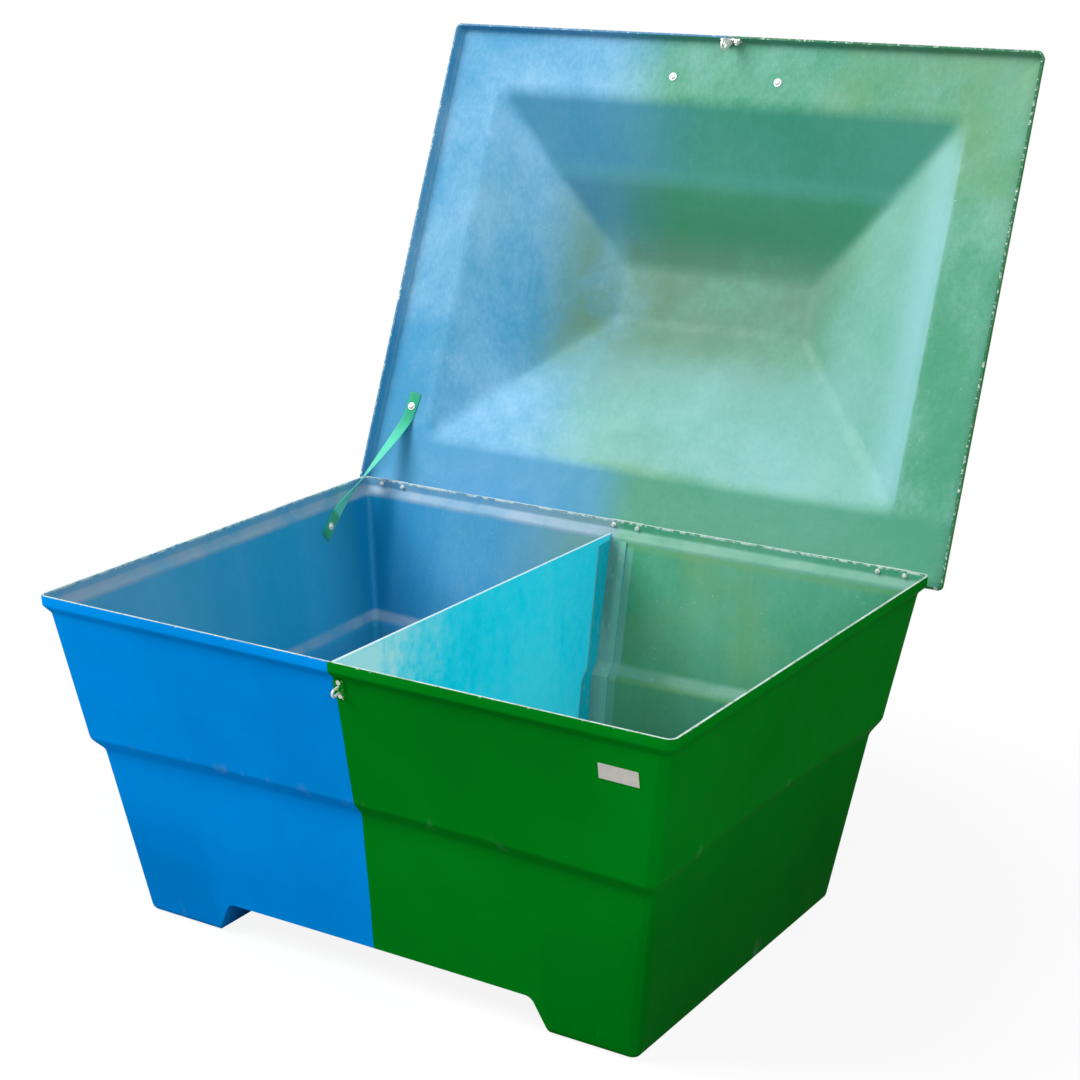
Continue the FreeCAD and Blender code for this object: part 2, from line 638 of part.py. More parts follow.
# Places on the tub where other pieces are fastened
LEFT, BACK, FRONT = Vector(-1, 0, 0), Vector(0, 1, 0), Vector(0, -1, 0)
UP = Vector(0, 0, 1)
gap = size("seat_gap")
hinge_spacing = size("tub_width") / 2 - size("hinge_inset")
hinge_places = (-hinge_spacing, 0, hinge_spacing)
leaf_screws = [x + side * size("leaf_screw_spacing") / 2 for x in hinge_places for side in (-1, 1)]
pin_depth, pin_height, screw_level = evaluate(PIN_DEPTH), evaluate(PIN_HEIGHT), evaluate(SCREW_LEVEL)
band_back, band_end, rim_level = size("tub_depth") / 2, size("tub_width") / 2, size("tub_height")

strap_point, strap_normal = seat(inside.Shape, Vector(
    -evaluate(wall_end("waist")), band_back - size("strap_tub_inset"),
    rim_level - size("strap_tub_drop")), "x")
staple_point, staple_normal = seat(solid.Shape, Vector(
    size("staple_side"), -band_back, rim_level - size("staple_drop")), "y")
staple_frame = frame(staple_point, UP, staple_normal)
label_point, label_normal = seat(solid.Shape, Vector(
    band_end - size("label_inset"), -band_back, rim_level - size("label_drop")), "y")
label_frame = frame(label_point, UP, label_normal)

tub_screw_frames = [frame(Vector(x, band_back, screw_level), UP, BACK) for x in leaf_screws]
staple_screw_frames = [
    staple_frame.multiply(Placement(Vector(0, side * size("staple_screw_spacing") / 2, 0), Rotation()))
    for side in (-1, 1)
]
drilled = drill(shell, "tub_drilled", "sizes.screw_diameter / 2 + sizes.hole_clearance",
                tub_screw_frames + staple_screw_frames)
tub = drill(drilled, "tub", "sizes.bolt_diameter / 2 + sizes.hole_clearance",
            [frame(strap_point, UP, strap_normal)])
keep(tub)


# Divider: a flat panel cut to the inside of the tub, and two L-shaped laminate strips that bond it in

def beside_middle(body, name, width, start="0", symmetric=False, top_front=None, top_back=None):
    """Pads a plate standing front to back, as high as the tops given at the front and the back."""
    sketch = outline(body, name + "_outline", "YZ_Plane", [
        ("-sizes.tub_depth / 2", "0"), ("sizes.tub_depth / 2", "0"),
        ("sizes.tub_depth / 2", top_back), ("-sizes.tub_depth / 2", top_front),
    ], start)
    return pad(body, name, sketch, width, symmetric)


skew = Placement(Vector(0, 0, 0), Rotation(Vector(0, 0, 1), size("divider_skew")),
                 Vector(0, -band_back, 0))
lining = hollow("divider_lining", "(sizes.laminate + sizes.seat_gap)")
panel_blank = new_body("divider_blank")
beside_middle(panel_blank, "divider_pad", "sizes.divider_thickness", symmetric=True,
              top_front="sizes.tub_height - sizes.divider_drop_front",
              top_back="sizes.tub_height - sizes.divider_drop_back")
panel_blank.Placement = skew
keep(boolean("Common", "divider_panel", panel_blank, lining))



def window_reach(place, bow):
    """Half the opening that the strip's web leaves on the panel, beside a named place of the wall."""
    return "(%s - %s - sizes.laminate - sizes.tape_leg)" % (wall_face(place), bow)


strip_top = SHOULDER + " - sizes.tape_thickness"
strip_top_front = "sizes.tub_height - sizes.tape_drop_front"
second_lining = hollow("strip_lining", "(sizes.laminate + sizes.seat_gap + sizes.tape_thickness)")
layer = boolean("Cut", "strip_layer", lining, second_lining)
strips = []
for word, turn in (("right", 0), ("left", 180)):
    beside = Placement(Vector(0, 0, 0), Rotation(Vector(0, 0, 1), turn))
    foot_blank = new_body("strip_foot_blank_" + word)
    beside_middle(foot_blank, "strip_foot_pad_" + word, "sizes.tape_leg",
                  "sizes.divider_thickness / 2 + sizes.bond_line", top_front=strip_top_front,
                  top_back=strip_top)
    foot_blank.Placement = skew.multiply(beside)
    foot = boolean("Common", "strip_foot_" + word, layer, foot_blank)
    web_blank = new_body("strip_web_blank_" + word)
    beside_middle(web_blank, "strip_web_pad_" + word, "sizes.tape_thickness",
                  "sizes.divider_thickness / 2 + sizes.bond_line", top_front=strip_top_front,
                  top_back=strip_top)
    window_side = [
        (window_reach("base", "0"), "sizes.channel_height + sizes.laminate + sizes.tape_leg"),
        (window_reach("step", "sizes.front_bow"), STEP_FOOT),
        (window_reach("waist", "sizes.front_bow"), "sizes.waist_height"),
        (window_reach("shoulder", "sizes.front_bow_top"), SHOULDER + " + sizes.tape_leg"),
    ]
    window = outline(web_blank, "strip_window_" + word, "YZ_Plane",
                     window_side + [("-" + reach, level) for reach, level in reversed(window_side)])
    pocket(web_blank, "strip_window_cut_" + word, window, "sizes.tub_width / 2", symmetric=True)
    web_blank.Placement = skew.multiply(beside)
    web = boolean("Common", "strip_web_" + word, lining, web_blank)
    strips.append(boolean("Fuse", "divider_strip_" + word, foot, web))
group("divider_bond_strips", [item.Shape for item in strips], [Placement()])


# Lid: a shallow tray with a skirt and a raised hip, modelled closed

def lid_sections(body, prefix, skin, bottom):
    """The lid's skirt and margin from its trimmed edge up to its rounded top."""
    edge = "(sizes.lid_edge - %s)" % skin
    top = "(%s + sizes.laminate - %s)" % (LID_SEAT, skin)
    rows = [(bottom, "0")]
    for turn in (0, 30, 60, 90):
        rows.append(("(%s - %s * (1 - sin(%d)))" % (top, edge, turn), "(%s * (1 - cos(%d)))" % (edge, turn)))
    sections = []
    for number, (level, inset) in enumerate(rows):
        lean = "(sizes.skirt_draft * (%s - %s) / sizes.skirt_depth)" % (level, LID_RAW)
        sections.append(straight_section(
            body, "%s_%d" % (prefix, number), level,
            "(%s - %s - %s - %s)" % (LID_HALF_WIDTH, skin, lean, inset),
            "(%s - %s - %s / 2 - %s)" % (LID_HALF_DEPTH, skin, lean, inset),
            "(sizes.lid_corner - %s - %s - %s)" % (skin, lean, inset),
            "(%s + %s / 2)" % (LID_MIDDLE, lean)))
    return sections


def hip_sections(body, prefix, foot, skin):
    """The raised hip above a level, with the crease across its front slope."""
    share = "(sizes.break_rise / sizes.hip_rise)"
    draw = "(%s * %s)" % (skin, HIP_DRAW)

    def mix(low, high):
        return "(%s + (%s - %s) * %s)" % (low, high, low, share)

    foot_w = "(%s - sizes.hip_end_margin - %s)" % (LID_HALF_WIDTH, draw)
    foot_d = "(%s - sizes.hip_face_margin - %s)" % (LID_HALF_DEPTH, draw)
    top_w, top_d = "(sizes.crown_width / 2 - %s)" % draw, "(sizes.crown_depth / 2 - %s)" % draw
    slack = "(sizes.break_draw / 2)"
    return [
        straight_section(body, prefix + "_root", foot + " - sizes.laminate / 2", foot_w, foot_d,
                         "sizes.hip_corner", LID_MIDDLE),
        straight_section(body, prefix + "_foot", foot, foot_w, foot_d, "sizes.hip_corner", LID_MIDDLE),
        straight_section(body, prefix + "_crease", foot + " + sizes.break_rise", mix(foot_w, top_w),
                         "(%s - %s)" % (mix(foot_d, top_d), slack),
                         mix("sizes.hip_corner", "sizes.crown_corner"), "(%s + %s)" % (LID_MIDDLE, slack)),
        straight_section(body, prefix + "_crown", foot + " + sizes.hip_rise", top_w, top_d,
                         "sizes.crown_corner", LID_MIDDLE),
    ]


lid_body = new_body("lid_shell")
loft(lid_body, "AdditiveLoft", "lid_tray", lid_sections(lid_body, "tray", "0", LID_RAW))
loft(lid_body, "AdditiveLoft", "lid_hip",
     hip_sections(lid_body, "hip", "(%s + sizes.laminate)" % LID_SEAT, "0"))
loft(lid_body, "SubtractiveLoft", "lid_tray_inside",
     lid_sections(lid_body, "tray_inside", "sizes.laminate", "(%s - sizes.laminate)" % LID_RAW))
loft(lid_body, "SubtractiveLoft", "lid_hip_inside",
     hip_sections(lid_body, "hip_inside", LID_SEAT, "sizes.laminate"))

# Places on the lid, still closed
lid_seat, lid_raw = evaluate(LID_SEAT), evaluate(LID_RAW)
lid_front, lid_back = evaluate(LID_FRONT), evaluate(LID_BACK)
laminate = size("laminate")
skirt_lean = math.atan2(size("skirt_draft"), size("skirt_depth"))
skirt_up = Vector(0, math.sin(skirt_lean), math.cos(skirt_lean))
skirt_out = Vector(0, -math.cos(skirt_lean), math.sin(skirt_lean))
skirt_root = Vector(size("tab_side"), lid_front + laminate / math.cos(skirt_lean), lid_raw)
tab_frame = frame(skirt_root, skirt_up, skirt_out.negative())
tab_bolt_frames = [
    tab_frame.multiply(Placement(
        Vector(side * size("tab_bolt_spacing") / 2, size("tab_bolt_rise"), -laminate),
        Rotation(Vector(1, 0, 0), 180)))
    for side in (-1, 1)
]
handle_point = Vector(0, lid_front + size("handle_reach"), lid_seat + laminate)
handle_bolt_frames = [
    frame(Vector(side * size("handle_span") / 2, handle_point.y, lid_seat), BACK, UP.negative())
    for side in (-1, 1)
]
strap_lid_point = Vector(size("strap_lid_inset") - evaluate(LID_HALF_WIDTH),
                         lid_back - size("strap_lid_reach"), lid_seat)
strap_lid_frame = frame(strap_lid_point, BACK, UP.negative())
lid_screw_frames = [frame(Vector(x, lid_back, screw_level), UP, FRONT) for x in leaf_screws]

lid_drilled = drill(lid_body, "lid_drilled", "sizes.screw_diameter / 2 + sizes.hole_clearance",
                    lid_screw_frames)
lid = drill(lid_drilled, "lid", "sizes.bolt_diameter / 2 + sizes.hole_clearance",
            tab_bolt_frames + handle_bolt_frames + [strap_lid_frame])
keep(lid, lid_open)


# Fasteners, each drawn once and copied to every place

def turned(label, points):
    """A body turned about Z from half its outline in the XZ plane."""
    body = new_body(label)
    sketch = outline(body, label + "_outline", "XZ_Plane", points)
    feature = body.newObject("PartDesign::Revolution", label + "_turned")
    feature.Profile = sketch
    feature.ReferenceAxis = (sketch, ["V_Axis"])
    feature.Angle = 360
    doc.recompute()
    return body


def hexagon(across_flats):
    radius = "%s / sqrt(3)" % across_flats
    return [("%s * cos(%d)" % (radius, turn), "%s * sin(%d)" % (radius, turn)) for turn in range(0, 360, 60)]


def make_screw(label, head, diameter, length, socket):
    """A countersunk socket screw, its head flush with Z = 0."""
    cone = "(%s - %s) / 2" % (head, diameter)
    body = turned(label, [
        ("0", "0"), ("%s / 2" % head, "0"), ("%s / 2" % diameter, "-(%s)" % cone),
        ("%s / 2" % diameter, "-(%s)" % length), ("0", "-(%s)" % length),
    ])
    pocket(body, label + "_socket", outline(body, label + "_hexagon", "XY_Plane", hexagon(socket)),
           "%s / 2" % socket)
    return body


def make_bolt(label, length):
    """A dome-headed bolt, bearing at Z = 0."""
    head = [("sizes.bolt_head / 2 * %s" % out, "sizes.bolt_head_height * %s" % rise) for out, rise in DOME]
    return turned(label, head + [
        ("sizes.bolt_head / 2", "0"), ("sizes.bolt_diameter / 2", "0"),
        ("sizes.bolt_diameter / 2", "-(%s)" % length), ("0", "-(%s)" % length),
    ])


def make_nut(label, flats, height, bore):
    body = new_body(label)
    pad(body, label + "_pad", outline(body, label + "_hexagon", "XY_Plane", hexagon(flats)), height)
    pocket(body, label + "_bore", circles(body, label + "_bore_circle", "XY_Plane", [("0", "0")], bore),
           "4 * (%s)" % height, symmetric=True)
    return body


def make_washer(label, outside, thickness, bore):
    body = new_body(label)
    disc = circles(body, label + "_rim", "XY_Plane", [("0", "0")], "%s / 2" % outside)
    pad(body, label + "_pad", disc, thickness)
    pocket(body, label + "_bore", circles(body, label + "_bore_circle", "XY_Plane", [("0", "0")], bore),
           "4 * (%s)" % thickness, symmetric=True)
    return body


screw_bore = "sizes.screw_diameter / 2 + sizes.hole_clearance / 2"
bolt_bore = "sizes.bolt_diameter / 2 + sizes.hole_clearance / 2"
screw = make_screw("countersunk_screw", "sizes.screw_head", "sizes.screw_diameter", "sizes.screw_length",
                   "sizes.screw_socket")
nut = make_nut("small_nut", "sizes.nut_flats", "sizes.nut_height", screw_bore)
washer = make_washer("small_washer", "sizes.washer_diameter", "sizes.washer_thickness", screw_bore)
bolt = make_bolt("dome_bolt", "sizes.bolt_length")
long_bolt = make_bolt("long_dome_bolt", "sizes.handle_bolt_length")
bolt_nut = make_nut("bolt_nut", "sizes.bolt_nut_flats", "sizes.bolt_nut_height", bolt_bore)
bolt_washer = make_washer("bolt_washer", "sizes.bolt_washer", "sizes.bolt_washer_thickness", bolt_bore)


def along(place, distance, flip=False):
    """The frame moved along its own Z, turned over where asked."""
    turn = Rotation(Vector(1, 0, 0), 180) if flip else Rotation()
    return place.multiply(Placement(Vector(0, 0, distance), turn))


# Hinges: three butt hinges with five knuckles, the tub's leaf holding three of them

def make_leaf(label, own, height):
    """A hinge leaf about its pin, resting on its -Y face."""
    body = new_body(label)
    r, t, h = size("knuckle_diameter") / 2, size("leaf_thickness"), evaluate(height)
    meet = math.sqrt(r ** 2 - (r - t) ** 2)
    sketch = new_sketch(body, label + "_outline", "YZ_Plane")
    sketch.addGeometry([
        line(-r, 0, -r, h), line(-r, h, t - r, h), line(t - r, h, t - r, meet),
        Part.ArcOfCircle(Part.Circle(Vector(0, 0, 0), Vector(0, 0, 1), r), math.pi,
                         2 * math.pi + math.atan2(meet, t - r)),
    ], False)
    for first, first_end, second, second_end in ((0, 2, 1, 1), (1, 2, 2, 1), (2, 2, 3, 2), (0, 1, 3, 1)):
        sketch.addConstraint(Sketcher.Constraint("Coincident", first, first_end, second, second_end))
    for upright in (0, 2):
        sketch.addConstraint(Sketcher.Constraint("Vertical", upright))
    sketch.addConstraint(Sketcher.Constraint("Horizontal", 1))
    sketch.addConstraint(Sketcher.Constraint("Coincident", 3, 3, -1, 1))
    sketch.addConstraint(Sketcher.Constraint("PointOnObject", 0, 1, -1))
    dimension(sketch, "Radius", (3,), "sizes.knuckle_diameter / 2", "knuckle")
    dimension(sketch, "DistanceY", (-1, 1, 0, 2), height, "height")
    dimension(sketch, "DistanceX", (0, 2, 1, 2), "sizes.leaf_thickness", "thickness")
    pad(body, label + "_pad", sketch, "sizes.hinge_width", symmetric=True)
    pitch = "(sizes.hinge_width + sizes.knuckle_gap) / 5"
    for place in range(5):
        if place in own:
            continue
        low = "(-sizes.hinge_width / 2 + %d * %s - sizes.knuckle_gap)" % (place, pitch)
        high = "(%s + %s + sizes.knuckle_gap)" % (low, pitch)
        if place == 0:
            low = "(-sizes.hinge_width)"
        if place == 4:
            high = "(sizes.hinge_width)"
        reach = "(sizes.knuckle_diameter / 2 + sizes.knuckle_gap)"
        slot = outline(body, "%s_slot_%d" % (label, place), "XY_Plane",
                       [(low, "-" + reach), (high, "-" + reach), (high, reach), (low, reach)])
        pocket(body, "%s_slot_cut_%d" % (label, place), slot, "2 * " + reach, symmetric=True)
    bore = circles(body, label + "_bore_circle", "YZ_Plane", [("0", "0")],
                   "sizes.pin_diameter / 2 + sizes.pin_clearance")
    pocket(body, label + "_bore", bore, "2 * sizes.hinge_width", symmetric=True)
    holes = circles(body, label + "_hole_circles", "XZ_Plane",
                    [("-sizes.leaf_screw_spacing / 2", "sizes.leaf_screw_rise"),
                     ("sizes.leaf_screw_spacing / 2", "sizes.leaf_screw_rise")],
                    "sizes.screw_diameter / 2 + sizes.hole_clearance")
    pocket(body, label + "_holes", holes, "4 * sizes.knuckle_diameter", symmetric=True)
    face = t - r
    countersink(body, label + "_countersink", lambda edge: lies_at("Y", face)(edge))
    return body


for word, x in zip(("left", "middle", "right"), hinge_places):
    axis = Placement(Vector(x, pin_depth, pin_height), Rotation())
    keep(make_leaf("hinge_%s_tub_leaf" % word, (0, 2, 4), "sizes.hinge_pin_drop"), axis)
    other = make_leaf("hinge_%s_lid_leaf" % word, (1, 3), "(sizes.hinge_pin_drop - sizes.laminate)")
    keep(other, lid_open.multiply(axis).multiply(Placement(Vector(), Rotation(Vector(0, 0, 1), 180))))
    pin = new_body("hinge_%s_pin" % word)
    rod = circles(pin, "pin_circle_" + word, "YZ_Plane", [("0", "0")], "sizes.pin_diameter / 2")
    pad(pin, "pin_pad_" + word, rod, "sizes.hinge_width + 4 * sizes.knuckle_gap", symmetric=True)
    keep(pin, axis)

knuckle = size("knuckle_diameter") / 2
leaf = size("leaf_thickness")
tub_heads = [frame(Vector(x, pin_depth - knuckle + leaf, screw_level), UP, BACK) for x in leaf_screws]
lid_heads = [frame(Vector(x, pin_depth + knuckle - leaf, screw_level), UP, FRONT) for x in leaf_screws]
group("tub_hinge_screws", [screw.Shape], tub_heads)
group("lid_hinge_screws", [screw.Shape], lid_heads, lid_open)
band_inside = band_back - laminate - size("band_draft") / 2
tub_nuts = [frame(Vector(x, band_inside - gap, screw_level), UP, FRONT) for x in leaf_screws]
group("tub_hinge_washers", [washer.Shape], tub_nuts)
group("tub_hinge_nuts", [nut.Shape], [along(place, size("washer_thickness")) for place in tub_nuts])
lid_nuts = [frame(Vector(x, lid_back + gap, screw_level), UP, BACK) for x in leaf_screws]
group("lid_hinge_washers", [washer.Shape], lid_nuts, lid_open)
group("lid_hinge_nuts", [nut.Shape], [along(place, size("washer_thickness")) for place in lid_nuts], lid_open)


# Restraint strap: flat on the tub's wall, a quarter twist, then flat on the lid's margin

def ribbon(stations, width, thickness):
    """A solid band through stations, each a point, a direction along it and a direction across it."""
    wires = []
    for point, forward, across in stations:
        forward = Vector(forward).normalize()
        across = across.sub(Vector(forward).multiply(across.dot(forward))).normalize()
        normal = forward.cross(across)
        side = Vector(across).multiply(width / 2)
        rise = Vector(normal).multiply(thickness / 2)
        corners = [point.add(side).add(rise), point.sub(side).add(rise),
                   point.sub(side).sub(rise), point.add(side).sub(rise)]
        wires.append(Part.makePolygon(corners + corners[:1]))
    return Part.makeLoft(wires, True, True)


strap_width, strap_thickness = size("strap_width"), size("strap_thickness")
lift = gap + strap_thickness / 2
lid_turn = lid_open.Rotation
start_normal = strap_normal
end_normal = lid_turn.multVec(UP.negative())
end_bolt = lid_open.multVec(strap_lid_point)
lid_heading = lid_turn.multVec(Vector(size("strap_lid_slant"), -size("strap_tail"), 0)).normalize()
wall_up = start_normal.cross(LEFT.cross(start_normal).normalize()).normalize()
leave_hint = end_bolt.sub(strap_point)
start_heading = leave_hint.sub(Vector(start_normal).multiply(leave_hint.dot(start_normal))).normalize()
first = ease(strap_point, start_normal, lift)
last = ease(end_bolt, end_normal, lift)
leaving = ease(first, start_heading, size("strap_tub_rest"))
landing = ease(last, lid_heading, -size("strap_lid_rest"))
start_across = start_normal.cross(start_heading).normalize()
end_across = end_normal.cross(lid_heading).normalize()
if start_across.dot(end_across) < 0:
    end_across = end_across.negative()
span = landing.sub(leaving).Length
stations = [(ease(first, start_heading, -size("strap_tail")), start_heading, start_across)]
steps = int(size("strap_steps"))
for step in range(steps + 1):
    s = step / steps
    h00, h10 = 2 * s ** 3 - 3 * s ** 2 + 1, s ** 3 - 2 * s ** 2 + s
    h01, h11 = 3 * s ** 2 - 2 * s ** 3, s ** 3 - s ** 2
    pull = span * size("strap_pull")
    point = Vector(leaving).multiply(h00).add(Vector(start_heading).multiply(h10 * pull))
    point = point.add(Vector(landing).multiply(h01)).add(Vector(lid_heading).multiply(h11 * pull))
    d00, d10 = 6 * s ** 2 - 6 * s, 3 * s ** 2 - 4 * s + 1
    d11 = 3 * s ** 2 - 2 * s
    heading = Vector(landing.sub(leaving)).multiply(-d00)
    heading = heading.add(Vector(start_heading).multiply(d10 * pull))
    heading = heading.add(Vector(lid_heading).multiply(d11 * pull))
    blend = s * s * (3 - 2 * s)
    across = Vector(start_across).multiply(math.cos(blend * math.pi / 2))
    across = across.add(Vector(end_across).multiply(math.sin(blend * math.pi / 2)))
    stations.append((point, heading, across))
stations.append((ease(last, lid_heading, size("strap_tail")), lid_heading, end_across))
webbing = ribbon(stations, strap_width, strap_thickness)
for point, normal in ((first, start_normal), (last, end_normal)):
    radius = size("bolt_diameter") / 2 + size("hole_clearance")
    base = ease(point, normal, -strap_thickness * 3)
    webbing = webbing.cut(Part.makeCylinder(radius, strap_thickness * 6, base, normal))
strap = doc.addObject("Part::Feature", "restraint_strap")
strap.Shape = webbing
keep(strap)

strap_tub_frame = frame(strap_point, UP, start_normal)
top_of_strap = gap + strap_thickness
washer_top = top_of_strap + size("bolt_washer_thickness")
for word, place, outer in (("tub", strap_tub_frame, None), ("lid", strap_lid_frame, lid_open)):
    group("strap_%s_washer" % word, [bolt_washer.Shape], [along(place, top_of_strap)], outer)
    group("strap_%s_bolt" % word, [bolt.Shape], [along(place, washer_top)], outer)
    group("strap_%s_nut" % word, [bolt_nut.Shape], [along(place, -laminate - gap, True)], outer)


# Padlock staple on the front wall: a plate with a bent wire eye

staple = new_body("staple")
plate_half_w, plate_half_l = "sizes.staple_plate_width / 2", "sizes.staple_plate_length / 2"
plate = outline(staple, "staple_plate_outline", "XY_Plane", [
    ("-" + plate_half_w, "-" + plate_half_l), (plate_half_w, "-" + plate_half_l),
    (plate_half_w, plate_half_l), ("-" + plate_half_w, plate_half_l),
])
pad(staple, "staple_plate", plate, "sizes.staple_plate_thickness")
round_edges(staple, "staple_plate_corners", lambda edge: edge.BoundBox.XLength < 0.01
            and edge.BoundBox.YLength < 0.01, "sizes.staple_plate_width / 4")
leg = "((sizes.staple_eye_width + sizes.staple_wire) / 2)"
reach = "(sizes.staple_reach - sizes.staple_wire / 2)"
bend_level = "(%s - %s)" % (reach, leg)
legs = circles(staple, "eye_legs", "XY_Plane", [("0", "-" + leg), ("0", leg)], "sizes.staple_wire / 2")
pad(staple, "staple_legs", legs, bend_level)
bend_section = circles(staple, "eye_section", "XY_Plane", [("0", "-" + leg)], "sizes.staple_wire / 2",
                       bend_level)
bend = staple.newObject("PartDesign::Revolution", "staple_bend")
bend.Profile = bend_section
bend.ReferenceAxis = (bend_section, ["H_Axis"])
bend.Angle = 180
bend.Reversed = True
doc.recompute()
staple_holes = circles(staple, "staple_hole_circles", "XY_Plane",
                       [("0", "-sizes.staple_screw_spacing / 2"), ("0", "sizes.staple_screw_spacing / 2")],
                       "sizes.screw_diameter / 2 + sizes.hole_clearance")
pocket(staple, "staple_holes", staple_holes, "4 * sizes.staple_plate_thickness", symmetric=True)
plate_top = size("staple_plate_thickness")
countersink(staple, "staple_countersink", lambda edge: lies_at("Z", plate_top)(edge))
keep(staple, along(staple_frame, gap))
group("staple_screws", [screw.Shape], [along(place, gap + plate_top) for place in staple_screw_frames])
group("staple_nuts", [nut.Shape], [along(place, -laminate - gap, True) for place in staple_screw_frames])


# Locking tab inside the lid's front skirt: a foot with two bolts and a fin with the padlock hole

tab = new_body("locking_tab")
half_foot = "sizes.tab_foot_width / 2"
foot = outline(tab, "tab_foot_outline", "XY_Plane", [
    ("-" + half_foot, "sizes.tab_foot_rise"), (half_foot, "sizes.tab_foot_rise"),
    (half_foot, "sizes.tab_foot_rise + sizes.tab_foot_height"),
    ("-" + half_foot, "sizes.tab_foot_rise + sizes.tab_foot_height"),
])
pad(tab, "tab_foot", foot, "sizes.tab_thickness")
eye_radius = "(sizes.tab_hole / 2 + sizes.tab_web)"
fin = outline(tab, "tab_fin_outline", "YZ_Plane", [
    ("sizes.tab_foot_rise", "0"), ("sizes.tab_foot_rise + sizes.tab_foot_height", "0"),
    ("sizes.tab_foot_rise + sizes.tab_foot_height", "sizes.tab_thickness"),
    ("-sizes.tab_hole_drop + %s / 2" % eye_radius, "sizes.tab_hole_inset + %s * sin(60)" % eye_radius),
    ("-sizes.tab_hole_drop - %s / 2" % eye_radius, "sizes.tab_hole_inset - %s * sin(60)" % eye_radius),
])
pad(tab, "tab_fin", fin, "sizes.tab_thickness", symmetric=True)
padlock_centre = [("-sizes.tab_hole_drop", "sizes.tab_hole_inset")]
disc = circles(tab, "tab_eye_circle", "YZ_Plane", padlock_centre, eye_radius)
pad(tab, "tab_eye", disc, "sizes.tab_thickness", symmetric=True)
padlock_hole = circles(tab, "tab_hole_circle", "YZ_Plane", padlock_centre, "sizes.tab_hole / 2")
pocket(tab, "tab_padlock_hole", padlock_hole, "4 * sizes.tab_thickness", symmetric=True)
tab_bolt_centres = [("%s * sizes.tab_bolt_spacing / 2" % side, "sizes.tab_bolt_rise") for side in (-1, 1)]
tab_bolt_holes = circles(tab, "tab_bolt_circles", "XY_Plane", tab_bolt_centres,
                         "sizes.bolt_diameter / 2 + sizes.hole_clearance")
pocket(tab, "tab_bolt_holes", tab_bolt_holes, "4 * sizes.tab_thickness", symmetric=True)
keep(tab, lid_open.multiply(along(tab_frame, gap)))
group("tab_bolts", [bolt.Shape], tab_bolt_frames, lid_open)
tab_grip = laminate + gap + size("tab_thickness")
group("tab_nuts", [bolt_nut.Shape], [along(place, -tab_grip, True) for place in tab_bolt_frames], lid_open)


# Lid handle: a bow with two feet, bolted from inside the lid

handle = new_body("lid_handle")
half_span = "(sizes.handle_span / 2)"
foot_out = "(%s + sizes.handle_foot / 2)" % half_span
foot_in = "(%s - sizes.handle_foot / 2)" % half_span
shoulder = "(%s - sizes.handle_foot / 2 + sizes.handle_grip / 2)" % half_span
grip_low = "(sizes.handle_rise - sizes.handle_grip)"
inner = "(%s - sizes.handle_grip)" % foot_in
bow = outline(handle, "handle_outline", "XZ_Plane", [
    ("-" + foot_out, "0"), ("-" + foot_in, "0"), ("-" + inner, grip_low), (inner, grip_low), (foot_in, "0"),
    (foot_out, "0"), (foot_out, "sizes.handle_foot_height"), (shoulder, "sizes.handle_rise"),
    ("-" + shoulder, "sizes.handle_rise"), ("-" + foot_out, "sizes.handle_foot_height"),
])
pad(handle, "handle_pad", bow, "sizes.handle_width", symmetric=True)


def handle_edges(x, z):
    def test(edge):
        box = edge.BoundBox
        return (box.XLength < 0.01 and box.ZLength < 0.01 and abs(abs(box.XMin) - x) < 0.01
                and abs(box.ZMin - z) < 0.01)
    return test


round_edges(handle, "handle_shoulders", handle_edges(evaluate(shoulder), size("handle_rise")),
            "sizes.handle_grip")
round_edges(handle, "handle_palm", handle_edges(evaluate(inner), evaluate(grip_low)),
            "sizes.handle_grip / 2")
handle_side = size("handle_width") / 2
round_edges(handle, "handle_edges", lambda edge: abs(abs(edge.BoundBox.YMin) - handle_side) < 0.01
            and edge.BoundBox.YLength < 0.01 and edge.BoundBox.ZMax > 0.01, "sizes.handle_edge")
handle_holes = circles(handle, "handle_hole_circles", "XY_Plane", [("-" + half_span, "0"), (half_span, "0")],
                       "sizes.bolt_diameter / 2 + sizes.hole_clearance / 2")
pocket(handle, "handle_holes", handle_holes, "2 * sizes.handle_hole_depth", symmetric=True)
keep(handle, lid_open.multiply(Placement(ease(handle_point, UP, gap), Rotation())))
group("handle_washers", [bolt_washer.Shape], [along(place, gap) for place in handle_bolt_frames], lid_open)
group("handle_bolts", [long_bolt.Shape],
      [along(place, gap + size("bolt_washer_thickness")) for place in handle_bolt_frames], lid_open)


# Label plate on the front wall, left bare

label = new_body("label_plate")
label_w, label_h = "sizes.label_width / 2", "sizes.label_tall / 2"
pad(label, "label_pad", outline(label, "label_outline", "XY_Plane", [
    ("-" + label_w, "-" + label_h), (label_w, "-" + label_h), (label_w, label_h), ("-" + label_w, label_h),
]), "sizes.label_thickness")
keep(label, along(label_frame, gap))

# Checks, then one file for every sub-part
doc.recompute()
for item in doc.Objects:
    if "Invalid" in item.State or "Error" in item.State:
        raise RuntimeError(item.Label + " did not build")
os.makedirs("parts", exist_ok=True)
for item in NODES:
    if item.Shape.isNull() or not item.Shape.isValid():
        raise RuntimeError(item.Label + " has no valid shape")
    item.Shape.exportStep("parts/" + item.Label + ".step")
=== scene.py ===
# Looks of a two-compartment grit salt bin: moulded glass-fibre shells with a blue and a green half,
# mottled bare laminate inside, a bonded divider, butt hinges, a webbing strap and its fittings.
# Metres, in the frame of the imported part: +Z up, +X along the front to the right, -Y towards the front.
import json
import math

import bmesh
import bpy
from bpy.props import FloatProperty, FloatVectorProperty, IntProperty, PointerProperty
from mathutils import Matrix, Vector


